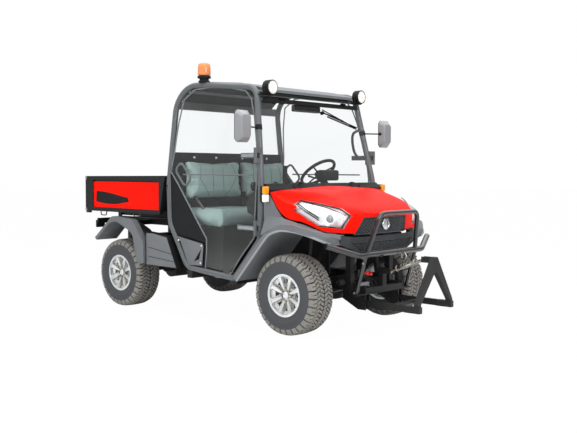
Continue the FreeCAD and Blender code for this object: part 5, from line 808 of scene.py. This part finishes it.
# %% Upper grille, with a plain round boss
upper = complete("upper_grille_mesh", "hood", "black_plastic",
                 honeycomb(768, 897, 330, 274, nose_face, 5, 14),
                 edge_strip(769, 896, 331, 275, nose_face, 7, 5), look="grille_black")
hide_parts("grille")
# A near-black sheet behind the honeycomb: painted shade in the grille's depth
complete("upper_grille_backing", "hood", "black_plastic",
         bowed_panel(766, 899, 334, 277, nose_face, 21, 4), look="shadow")
BOSS_Z = 838
boss_x = nose_face(0, BOSS_Z)
boss = bar((boss_x - 12, 0, BOSS_Z), (boss_x + 4, 0, BOSS_Z), 44, tip=41, sides=48, bevel=2)
boss_rim = ring((boss_x + 3, 0, BOSS_Z), (1, 0, 0), 41, 3, sides=48)
complete("grille_boss", "hood", "steel", boss, boss_rim, look="chrome")

# %% Lower grille in the fascia's recess
complete("lower_grille_mesh", "chassis", "black_plastic",
         honeycomb(640, 712, 304, 414, fascia_face, 3, 8),
         edge_strip(639, 713, 303, 417, fascia_face, 5, 3.5), look="grille_black")

# %% [markdown]
# Each headlamp is a deep clear moulding. Behind its skin stand a bright reflector, a round
# projector with its own lens, two dark accents that sweep to the rear tip, and one along the top.

# %% Headlamps
LAMP_MIDDLE = at(2270, -560, 915)
REFLECTOR_SHARE = 0.88
PROJECTOR = Vector((2330, -545, 893))
PROJECTOR_AIM = Vector((0.80, -0.58, 0.02)).normalized()

reflector = edit(node_copy("headlamps"), bpy.ops.mesh.remove_doubles, threshold=WELD_METRES)
for vertex in reflector.data.vertices:
    side = -1 if vertex.co.y < 0 else 1
    middle = Vector((LAMP_MIDDLE.x, -side * LAMP_MIDDLE.y, LAMP_MIDDLE.z))
    inwards = Vector((-0.012, -side * 0.012, -0.002))
    vertex.co = middle + (vertex.co - middle) * REFLECTOR_SHARE + inwards
complete("headlamp_reflectors", "hood", "lens", reflector, look="reflector")

nose_end = tuple(PROJECTOR + PROJECTOR_AIM * 4)
barrel = bar(tuple(PROJECTOR - PROJECTOR_AIM * 40), nose_end, 38, tip=43, sides=36, bevel=2)
collar = ring(nose_end, PROJECTOR_AIM, 41, 4)
complete("headlamp_projectors", "hood", "steel", both(barrel, collar), look="chrome")
complete("projector_lenses", "hood", "lens", both(ball(nose_end, 33, sides=28)),
         look="smoked_lens")
accents = [tube([(2128, -668, 1006 - down), (2190, -662, 968 - down), (2262, -643, 926 - down),
                 (2300, -628, 902 - down)], 4, smooth=True) for down in (0, 16)]
accents.append(tube([(2150, -652, 1022), (2235, -590, 1000), (2330, -490, 962), (2396, -428, 915)],
                    3.5, smooth=True))
complete("headlamp_accents", "hood", "black_plastic", both(*accents), look="shadow")

# %% Washer jets on the cowl
jets = []
for y in (-330, 330):
    jets.append(block((1845, y - 13, 1146), (1878, y + 13, 1157), bevel=3))
    jets.append(bar((1874, y, 1153), (1882, y, 1154), 3.5, sides=12))
complete("washer_jets", "chassis", "black_plastic", *jets)

# %% Painted highlight along the front flare's edge, and painted shade in its crease
FLARE_EDGE = ((1593, 786, 386), (1757, 787, 570), (1918, 786, 754), (1968, 785, 782),
              (2043, 784, 804), (2130, 783, 806), (2204, 778, 800), (2262, 758, 786),
              (2312, 728, 768), (2352, 690, 745), (2372, 652, 728), (2384, 600, 712))
# The pale tube is a painted highlight along the flare's lit edge
edge = paint("light_grey_and_edge_highlight", tube([(x, -y, z) for x, y, z in FLARE_EDGE], 9, smooth=True))
# The dark tube is painted shade in the flare's crease
crease = paint("shadow", tube([(x - 6, -y - 3, z + 26) for x, y, z in FLARE_EDGE[2:9]], 2,
                              smooth=True))
complete("front_flare_highlight_and_crease_shade", "chassis", "grey_plastic", both(edge, crease))

# %% [markdown]
# Outside of the cab: a pale painted highlight round the inner edge of each door opening, the
# facetted mirrors, the lamps on the roof and by the windshield's foot, the wiper, and the dark band
# and latches at the windshield's top.

# %% Painted highlight round the door openings
SIDE_LEAN = 0.125
LEAN_FROM = 1150
SIDE_FOOT = 742
OPENING = ((713, 1238), (819, 1135), (1065, 826), (1176, 690), (1177, 580), (1160, 436),
           (1300, 422), (1455, 415), (1583, 576), (1722, 725), (1747, 1172), (1738, 1337),
           (1659, 1678), (1609, 1814), (1540, 1880), (1319, 1923), (1114, 1936), (930, 1928),
           (800, 1850), (757, 1654), (744, 1509), (735, 1380))


def side_y(z, inset):
    """How far out the cab's right side stands at a height, less an inset."""
    return -(SIDE_FOOT - inset - max(0, z - LEAN_FROM) * SIDE_LEAN)


# A pale tube round each door opening: painted highlight on the frame's inner edge
opening_highlight = tube([(x, side_y(z, 20), z) for x, z in OPENING], 6, closed=True, round_sides=2)
complete("door_opening_edge_highlights", "chassis", "frame", both(opening_highlight), look="edge_highlight_grey")

# %% Mirrors with facetted backs
MIRROR_Y, MIRROR_Z = -905, 1585
# Stations from the glass to the back: x, half the width, half the height, size of the cut corners
MIRROR_LIP, MIRROR_GLASS = (1768, 78, 120, 23), (1772, 72, 114, 20)
MIRROR_RIM, MIRROR_BACK = (1774, 80, 122, 24), (1822, 48, 84, 18)
MIRROR_LIP_BACK = (1775, 80, 122, 24)


def facetted(back_outline, front_outline, bevel):
    """A shell between two outlines of as many corners each."""
    piece = plate(back_outline, (10, 0, 0))
    for vertex, place in zip(piece.data.vertices[len(back_outline):], front_outline):
        vertex.co = at(*place)
    return round_edges(piece, bevel, 2, sharper_than=15)


def mirror_outline(x, half_wide, half_tall, cut):
    """Eight corners of a mirror shell's outline at a station."""
    corners = []
    for side, rise in ((1, 1), (-1, 1), (-1, -1), (1, -1)):
        near = (x, MIRROR_Y + side * half_wide, MIRROR_Z + rise * (half_tall - cut))
        far = (x, MIRROR_Y + side * (half_wide - cut), MIRROR_Z + rise * half_tall)
        corners += [near, far] if side * rise > 0 else [far, near]
    return corners


shell = paint("mirror_shell",
              facetted(mirror_outline(*MIRROR_RIM), mirror_outline(*MIRROR_BACK), 4))
glass = paint("chrome", plate(mirror_outline(*MIRROR_GLASS), (-3, 0, 0), bevel=1))
lip = paint("black_plastic",
            facetted(mirror_outline(*MIRROR_LIP), mirror_outline(*MIRROR_LIP_BACK), 2))
stalk = tube([(1782, -838, 1585), (1744, -792, 1585), (1716, -752, 1585), (1712, -728, 1585),
              (1712, -684, 1585)], 6, smooth=True)
arm = paint("black_plastic", stalk, ball((1784, -836, 1585), 15),
            bar((1716, -665, 1566), (1708, -661, 1606), 28, sides=32, bevel=3))
mirrors = complete("wing_mirrors", "chassis", "mirror_shell", both(shell, glass, lip, arm))
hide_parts("mirrors")

# %% Work lamps on the roof
LAMP_FACE = box_on_drawing("work_lamps")[1][0]
LAMP_Y, LAMP_Z, LAMP_RADIUS = -569, 1900, 58
FLUTE_PITCH, FLUTE_REACH = 9, 50
# Half of the yoke: distance behind the lamp's face, distance from its middle, height
YOKE_HALF = ((30, 62, 0), (34, 62, -45), (36, 30, -62))


def on_lamp(behind, across=0, up=0):
    """Place on the drawing, measured from the middle of a work lamp's face."""
    return (LAMP_FACE - behind, LAMP_Y + across, LAMP_Z + up)


bezel = paint("black_plastic", ring(on_lamp(3), (1, 0, 0), LAMP_RADIUS - 4, 4.5, sides=44))
dish = paint("reflector", bar(on_lamp(6), on_lamp(1), LAMP_RADIUS - 6, sides=44))
flutes = []
for across in range(-5 * FLUTE_PITCH, 6 * FLUTE_PITCH, FLUTE_PITCH):
    reach = math.sqrt(FLUTE_REACH ** 2 - across ** 2)
    flutes.append(bar(on_lamp(0, across, -reach), on_lamp(0, across, reach), 3.2, sides=8))
fluted = paint("label_white", *flutes)
fins = [ring(on_lamp(24 + step * 9), (1, 0, 0), LAMP_RADIUS - 2, 2.5, sides=36, round_sides=6)
        for step in range(4)]
yoke = tube([on_lamp(behind, -across, up) for behind, across, up in YOKE_HALF]
            + [on_lamp(*place) for place in YOKE_HALF[::-1]], 4)
cooling = paint("black_plastic", *fins, yoke)
complete("work_lamp_trim", "chassis", "black_plastic", both(bezel, dish, fluted, cooling))

# %% Beacon
BEACON = (1030, -615)
RIB_PITCH = 13
beacon_low, beacon_high = box_on_drawing("beacon")
foot_z, top_z = beacon_low[2], beacon_high[2]
stack = [bar((*BEACON, foot_z + low), (*BEACON, foot_z + high), radius, tip, 44, bevel)
         for low, high, radius, tip, bevel in ((0, 14, 50, 46, 3), (12, 34, 40, 38, 2),
                                               (32, 52, 56, None, 5))]
base = paint("black_plastic", *stack)
dome = bar((*BEACON, foot_z + 52), (*BEACON, top_z), 55, tip=50, sides=44, bevel=20)
ribs = [ring((*BEACON, foot_z + 62 + step * RIB_PITCH), (0, 0, 1), 54.8 - step * 0.7, 1.4, sides=44,
             round_sides=6) for step in range(5)]
beacon = complete("roof_beacon", "chassis", "beacon", base, paint("beacon", dome, *ribs))
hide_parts("beacon")

# %% Signal and tail lamps
signal_low, signal_high = box_on_drawing("signal_lamps")
front, back = signal_high[0], signal_low[0]
signals = both(*painted_blocks(
    ("black_plastic", (back, -784, 1010), (back + 22, -724, 1133), 5),
    ("signal", (back + 18, -782, 1073), (front, -726, 1131), 7),
    ("label_white", (back + 18, -782, 1012), (front, -726, 1070), 7)))
complete("front_signal_lamps", "chassis", "signal", signals)
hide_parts("signal_lamps")

back = box_on_drawing("tail_lamps")[0][0]
tails = both(*painted_blocks(
    ("black_plastic", (back + 4, -640, 700), (back + 30, -550, 770), 4),
    ("tail", (back, -634, 737), (back + 12, -556, 765), 4),
    ("signal", (back, -634, 705), (back + 12, -597, 733), 4),
    ("label_white", (back, -593, 705), (back + 12, -556, 733), 4)))
complete("rear_lamp_clusters", "chassis", "tail", tails)
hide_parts("tail_lamps")

# %% Windshield top: dark band, latches, wiper
band_plate = plate([(1701, -604, 1786), (1701, 604, 1786), (1694, 598, 1822), (1694, -598, 1822)],
                   (7, 0, 2), bevel=2)
complete("windshield_band", "chassis", "black_plastic", band_plate)
latches = [block((1700, y - 34, 1812), (1716, y + 34, 1834), bevel=9, segments=3)
           for y in (-390, 390)]
complete("windshield_latches", "chassis", "black_plastic", *latches, look="shadow")

blade = tube([(1722, 170, 1722), (1738, 350, 1676), (1752, 532, 1630)], 5, smooth=True)
rubber = plate([(1716, 168, 1715), (1748, 534, 1622), (1745, 532, 1612), (1713, 166, 1705)],
               (2.5, 0, 0.6))
pivot = bar((1697, 108, 1735), (1722, 108, 1741), 15, sides=28, bevel=3)
carrier = tube([(1720, 112, 1738), (1734, 240, 1706), (1740, 345, 1682)], 6, smooth=True)
complete("wiper_blade", "chassis", "black_plastic", blade, rubber, pivot, carrier, look="shadow")


# %% Where a CAD node's right side stands
def skin_y(name, x, z):
    """Distance across where a line from the right first meets a node, at a station and height."""
    node = nodes[name]
    back = node.matrix_world.inverted()
    met, place, _, _ = node.ray_cast(back @ at(x, -1300, z), back.to_3x3() @ Vector((0, 1, 0)))
    return (node.matrix_world @ place).y * 1000 if met else None


print("rear cover at", skin_y("side_panels", 640, 560), "bed skin at", skin_y("bed_skins", 0, 1000))


# %% Hinge straps with their bolts
def hinge_strap(back, front, z):
    """Flat strap laid on a hinge arm from its tip to its barrel, with three cap bolts."""
    near = skin_y("door_hardware_right", back + 6, z)
    far = skin_y("door_hardware_right", front, z)
    strap = plate([(back, near, z - 11), (front, far, z - 14), (front, far, z + 14),
                   (back, near, z + 11)], (0, -3, 0), bevel=1.2)
    paint("light_grey_and_edge_highlight", strap)
    bolts = []
    for share in (0.12, 0.5, 0.88):
        x, y = back + (front - back) * share, near + (far - near) * share
        bolts.append(bar((x, y, z), (x, y - 7, z), 8, sides=6, bevel=1))
    return join(strap, paint("zinc", *bolts))


straps = join(hinge_strap(1570, 1764, 1367), hinge_strap(1556, 1764, 805))
complete("door_straps_right", "door_right", "zinc", straps)
complete("door_straps_left", "door_left", "zinc", copy_of(straps, across=True))

# %% Grey covers on the side panels
rear_cover = side_plate(-770, ((449, 700), (537, 702), (724, 676), (846, 426), (449, 426)))
# Dark tubes along the rear cover's grooves: painted shade in the grooves
groove_shade_lines = paint("shadow", tube([(480, -773, 579), (795, -773, 538)], 2.2),
                tube([(480, -773, 499), (818, -773, 476)], 2.2))
lower_cover = side_plate(-735, ((814, 694), (1140, 647), (1152, 626), (1136, 466), (966, 459),
                                (868, 648)))
# A thin near-black plate in the lower cover's recess: painted shade
recess = side_plate(-738, ((1127, 602), (1102, 515), (1038, 494)), depth=1, bevel=0)
cover_bolts = paint("label_white", *[
    bar((x, -737, z), (x, -742, z), 7, tip=5, sides=18, bevel=1)
    for x, z in ((841, 660), (1130, 629), (1118, 486))])
complete("side_covers", "chassis", "grey_plastic",
         both(paint("grey_plastic", rear_cover), groove_shade_lines, paint("grey_plastic", lower_cover),
              paint("shadow", recess), cover_bolts))

# %% [markdown]
# Inside the cab the headliner follows the roof's own form, so it is made from a copy of the roof's
# mesh. Round the driver stand handles, the overhead console, the instrument hood and the buckles.

# %% Headliner and overhead console
LINER_LENGTH, LINER_WIDTH, LINER_DROP = 0.965, 0.95, 0.024
headliner = edit(node_copy("roof"), bpy.ops.mesh.remove_doubles, threshold=WELD_METRES)
roof_low, roof_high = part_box("roof")
roof_middle = (roof_low + roof_high) / 2
for vertex in headliner.data.vertices:
    vertex.co.x = roof_middle.x + (vertex.co.x - roof_middle.x) * LINER_LENGTH
    vertex.co.y *= LINER_WIDTH
    vertex.co.z -= LINER_DROP
complete("headliner", "chassis", "black_plastic", headliner, look="headliner")
complete("overhead_console", "chassis", "black_plastic",
         *painted_blocks(("black_plastic", (1655, -225, 1735), (1700, 98, 1788), 8),
                         ("grey_plastic", (1640, -150, 1745), (1658, 60, 1780), 5),
                         ("grey_plastic", (1500, -330, 1880), (1640, -120, 1905), 8)))

# %% Handles
post_handle = tube([(1722, 655, 1364), (1700, 612, 1372), (1672, 600, 1420), (1655, 598, 1490),
                    (1650, 598, 1560), (1668, 606, 1600), (1690, 640, 1611)], 12, smooth=True)
entry_bar = tube([(842, -622, 1000), (850, -622, 1040), (880, -622, 1062), (925, -622, 1025),
                  (1120, -625, 850), (1148, -625, 800), (1150, -625, 745), (1150, -625, 660)], 13,
                 smooth=True)
sleeve = bar((697, -715, 1080), (697, -715, 1128), 28, sides=28, bevel=3)
complete("cab_handles", "chassis", "guard", post_handle, both(entry_bar), both(sleeve))

# %% Instrument hood, levers and buckles
hood_block = block((1545, 225, 1165), (1640, 435, 1258), bevel=18, segments=3)
dial = paint("smoked_lens", block((1538, 245, 1180), (1550, 415, 1240), bevel=4))
vents = []
for y in (-520, -260, 40):
    vents.append(ring((1522, y, 1120), (1, 0, 0.2), 34, 6, sides=28))
    vents.append(bar((1524, y, 1120), (1534, y, 1118), 30, sides=28))
complete("instrument_hood", "chassis", "black_plastic", paint("black_plastic", hood_block), dial,
         paint("shadow", *vents))

levers = [bar((1500, 330 + side * 30, 1180), (1485, 330 + side * 135, 1205), 6, tip=9, sides=14)
          for side in (-1, 1)]
levers += [bar((1420, 40, 880), (1400, 40, 1010), 8, sides=16), ball((1398, 40, 1022), 24)]
complete("levers", "chassis", "black_plastic", *levers)

buckles = []
for y in (-58, -44):
    buckles.append(paint("webbing", bar((905, y, 930), (925, y + 4, 1010), 5, sides=10)))
    buckles.append(paint("shadow", block((908, y - 10, 1005), (940, y + 10, 1062), bevel=5)))
    buckles.append(paint("coupler_red", block((915, y - 7, 1060), (935, y + 7, 1066), bevel=1.5)))
complete("belt_buckles", "chassis", "black_plastic", *buckles)

# %% Sill tread and floor ribs
tread_plate = block((1335, -708, 424), (1495, -664, 428), bevel=1)
ridges = [block((x, -704, 428), (x + 6, -668, 430)) for x in range(1345, 1345 + 12 * 13, 13)]
complete("sill_treads", "chassis", "zinc", both(tread_plate, *ridges))
floor_ribs = [block((1310, y, 410.5), (1490, y + 10, 414), bevel=1) for y in range(-620, 620, 40)]
complete("floor_mat_ribs", "chassis", "tub", *floor_ribs)

# %% Bolts on the bulkhead's band
caps = [bar((724, y, 1363), (733, y, 1363), 11, tip=8, sides=20, bevel=1.5)
        for y in (-458, -197, 134, 458)]
complete("bulkhead_caps", "chassis", "zinc", *caps, look="label_white")

# %% [markdown]
# The cargo bed. Its red side skins carry a dark swept stripe, the floor is ribbed, the tailgate is
# held by zinc latches at its corners, and tie-down hooks hang below its sides.

# %% Stripe on the red skins
STRIPE = ((-344, 1054), (-270, 1051), (-200, 1046), (-126, 1038), (-54, 1028), (10, 1017),
          (70, 1009), (128, 1004), (144, 986), (150, 960), (100, 957), (50, 950), (0, 942),
          (-50, 937), (-120, 935), (-190, 938), (-270, 945), (-350, 955))
stripe = side_plate(-733, STRIPE, depth=0.9, bevel=0)
complete("bed_side_stripes", "bed", "black_plastic", both(stripe))
contour = tube([(314, -733, 1008), (330, -733, 960), (372, -733, 934), (438, -733, 930)], 1.6,
               smooth=True)
complete("bed_side_contours", "bed", "red", both(contour))

# %% Ribs of the bed's floor
BED_FLOOR_TOP = 902
bed_ribs = [block((-470, y - 14, BED_FLOOR_TOP), (556, y + 14, BED_FLOOR_TOP + 1.6), bevel=0.7,
                  segments=1) for y in range(-630, 660, 70)]
complete("bed_floor_ribs", "bed", "black_plastic", *bed_ribs)

# %% Tailgate latches and tie-down hooks
latches = []
for z in (1176, 880):
    latches.append(block((-502, -749, z - 16), (-484, -744, z + 14), bevel=1.5))
    latches.append(bar((-493, -744, z), (-493, -753, z), 8, sides=20, bevel=1.2))
complete("tailgate_latches", "gate", "zinc", both(*latches))
hooks = [tube([(back, -726, 872), (back + 2, -728, 838), (back + 14, -728, 830),
               (front - 14, -728, 830), (front - 2, -728, 838), (front, -726, 872)], 5, smooth=True)
         for back, front in ((-285, -195), (215, 305))]
complete("bed_tie_hooks", "bed", "guard", both(*hooks))

# %% [markdown]
# The front hitch. Its top link is a zinc turnbuckle, the couplers have red dust caps, and a valve
# block with two hoses sits in front of the radiator's place. Pins and bolts show at each eye.

# %% Turnbuckle on the top link
LINK_BACK = Vector((2498, 0, 474))
link_high = box_on_drawing("top_link")[1]
link_run = Vector((link_high[0] - 12, 0, link_high[2] - 10)) - LINK_BACK


def link_bars(shares, length, radius, **settings):
    """Bars along the top link: where each starts and how long all are, as shares of the link."""
    return [bar(tuple(LINK_BACK + link_run * share), tuple(LINK_BACK + link_run * (share + length)),
                radius, **settings) for share in shares]


turnbuckle = (link_bars((0.26,), 0.48, 20, sides=28, bevel=3)
              + link_bars((0.20, 0.75), 0.05, 24, sides=6, bevel=1.5)
              + link_bars((0.40, 0.48, 0.56), 0.012, 22, sides=28, bevel=1))
complete("top_link_turnbuckle", "link", "zinc", *turnbuckle)

# %% Pins and bolts of the arms and the guard
pins = [bar((x, -228, 236), (x, -238, 236), 13, sides=6, bevel=1.5) for x in (2821, 2425)]
complete("arm_pin_heads", "arms", "zinc", both(*pins))
guard_bolts = [bar((x, -350, z), (x, -359, z), 9, sides=6, bevel=1)
               for x, z in ((2503, 560), (2503, 600), (2421, 330))]
complete("guard_bolt_heads", "chassis", "zinc", both(*guard_bolts))

# %% Couplers, valve block and hoses
# Each coupler's distance across and height, and where its hose reaches the valve block
COUPLERS = ((-172, 462, -38), (-128, 452, 8))
bodies, caps, hoses = [], [], []
for y, z, foot in COUPLERS:
    bodies.append(bar((2338, y, z), (2378, y, z), 13, sides=6, bevel=1.5))
    bodies.append(bar((2376, y, z), (2400, y, z), 15, sides=24, bevel=1.5))
    caps.append(bar((2398, y, z), (2416, y, z), 17, tip=15, sides=24, bevel=3))
    hoses.append(tube([(2340, y, z), (2322, y, z), (2312, y + 20, 430), (2318, foot, 392),
                       (2352, foot, 372), (2360, foot, 348)], 8, smooth=True))
spools = [bar((2360, 110, z), (2360, 146, z), 11, sides=20, bevel=2) for z in (307, 335)]
spools += [bar((2384, y, 320), (2396, y, 320), 12, sides=6, bevel=1.5) for y in (-38, 8, 54)]
plate_bolts = [bar((2375, y, z), (2380, y, z), 6, sides=6)
               for y in (-212, -112) for z in (306, 374)]
shackle = (ring((2536, 132, 582), (0.2, 1, 0), 26, 6),
           bar((2514, 112, 604), (2514, 152, 604), 8, sides=20, bevel=1.5))
bracket, valve, box_plate = painted_blocks(
    ("driveline", (2330, -196, 420), (2340, -104, 486), 2),
    ("steel", (2336, -59, 292), (2384, 120, 350), 3),
    ("light_grey_and_edge_highlight", (2352, -227, 292), (2376, -97, 388), 5))
complete("front_hydraulics", "chassis", "zinc", paint("coupler_red", *caps), paint("zinc", *bodies),
         bracket, valve, paint("zinc", *spools), paint("rubber_black", *hoses), box_plate,
         paint("zinc", *plate_bolts), paint("zinc", *shackle))

# %% Steering rack's bellows
bellows = [ring((2262, -300 - step * 11, 395), (0, 1, 0), 24 - step * 1.5, 5, sides=28,
                round_sides=8) for step in range(5)]
complete("rack_bellows", "chassis", "black_plastic", both(*bellows), look="rubber_black")

# %% [markdown]
# The four seat pads. Each starts as a slightly smaller copy of its CAD pad, is remeshed evenly and
# then blown up as cloth, so its middle crowns and its edges pull in between the corners. Seams
# follow the swollen skin.

# %% Cloth pads
PADS = ("seat_cushion_right", "seat_cushion_left", "seat_back_right", "seat_back_left")
VOXEL = 0.006
DRAWN_IN = 0.009
PRESSURE = 4.0
FARTHEST = 0.024
OUTSIDE_CAD = 0.006
LAST_FRAME = 20


def pad_copy(name):
    """A free copy of a CAD pad, drawn in all round and remeshed."""
    pad = node_copy(name)
    low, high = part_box(name)
    middle, half = (low + high) / 2, (high - low) / 2
    for vertex in pad.data.vertices:
        away = vertex.co - middle
        vertex.co = middle + Vector([part * (1 - DRAWN_IN / size)
                                     for part, size in zip(away, half)])
    return modified(pad, "REMESH", mode="VOXEL", voxel_size=VOXEL)


def add_cloth(pad):
    """Air pressure inside the pad, with no gravity."""
    cloth = pad.modifiers.new("cloth", "CLOTH")
    cloth.settings.use_pressure = True
    cloth.settings.uniform_pressure_force = PRESSURE
    cloth.settings.effector_weights.gravity = 0.0
    cloth.settings.quality = 3
    cloth.point_cache.frame_start = 1
    cloth.point_cache.frame_end = LAST_FRAME


def settle_cloth(pad):
    """Apply the swollen shape, but let no point travel farther than the cap."""
    rest = [vertex.co.copy() for vertex in pad.data.vertices]
    pick(pad)
    bpy.ops.object.modifier_apply(modifier="cloth")
    for vertex, start in zip(pad.data.vertices, rest):
        travel = vertex.co - start
        if travel.length > FARTHEST:
            vertex.co = start + travel.normalized() * FARTHEST


pads = {name: pad_copy(name) for name in PADS}
for pad in pads.values():
    add_cloth(pad)
for step in range(1, LAST_FRAME + 1):
    bpy.context.scene.frame_set(step)
for pad in pads.values():
    settle_cloth(pad)
bpy.context.scene.frame_set(1)
for name, pad in pads.items():
    low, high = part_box(name)
    for vertex in pad.data.vertices:
        vertex.co = Vector([min(max(part, start - OUTSIDE_CAD), end + OUTSIDE_CAD)
                            for part, start, end in zip(vertex.co, low, high)])
    modified(pad, "SMOOTH", factor=0.5, iterations=6)
    modified(pad, "SUBSURF", levels=1)
print("pad faces:", [len(pad.data.polygons) for pad in pads.values()])


# %% Seams and sewn channels
SEAM_STEPS = 10
CAST_METRES = 0.4
SEAM_PROUD = 0.0006
SEAM_RADIUS = 2.2
# Distances across of the seats on each side, and the planes that seams are drawn on
SPANS = {"right": (-80, -680), "left": (-30, 500)}
AHEAD_OF_BACKS, ABOVE_SEATS = 1400, 1200


def seam(pad, route, direction):
    """Piping laid on a pad: each drawing point is cast along a direction onto the swollen skin."""
    placed = []
    way = Vector(direction)
    for start in legs(route, SEAM_STEPS):
        met, place, _, _ = pad.ray_cast(at(*start) - way * CAST_METRES, way)
        if met:
            placed.append(on_drawing(place - way * SEAM_PROUD))
    return tube(placed, SEAM_RADIUS, round_sides=2)


def back_seams(pad, middle, half):
    """Shield and three flutes on the front of a seat back, drawn as (share across, height)."""
    shield = [(-0.62, 1300), (-0.70, 1180), (-0.40, 1060), (-0.30, 1030)]
    lines = [shield, [(-share, z) for share, z in shield], [(-0.62, 1300), (0.62, 1300)]]
    lines += [[(share, 1285), (share, 1050)] for share in (-0.2, 0.2)]
    return [seam(pad, [(AHEAD_OF_BACKS, middle + share * half, z) for share, z in line], (-1, 0, 0))
            for line in lines]


def seat_seams(pad, middle, half):
    """Panel lines across the top of a seat cushion, drawn as (station, share across)."""
    lines = [[(860, share), (1290, share)] for share in (-0.66, 0.66)]
    lines += [[(x, -0.64), (x, 0.64)] for x in (1010, 1180)]
    return [seam(pad, [(x, middle + share * half, ABOVE_SEATS) for x, share in line], (0, 0, -1))
            for line in lines]


for name, pad in pads.items():
    inner, outer = SPANS["right" if name.endswith("right") else "left"]
    sew = back_seams if "back" in name else seat_seams
    paint("vinyl", pad)
    seams = paint("seam_thread", *sew(pad, (inner + outer) / 2, abs(outer - inner) / 2))
    padded = complete(name + "_pad", "chassis", "vinyl", pad, seams, crease=60)
    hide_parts(name)
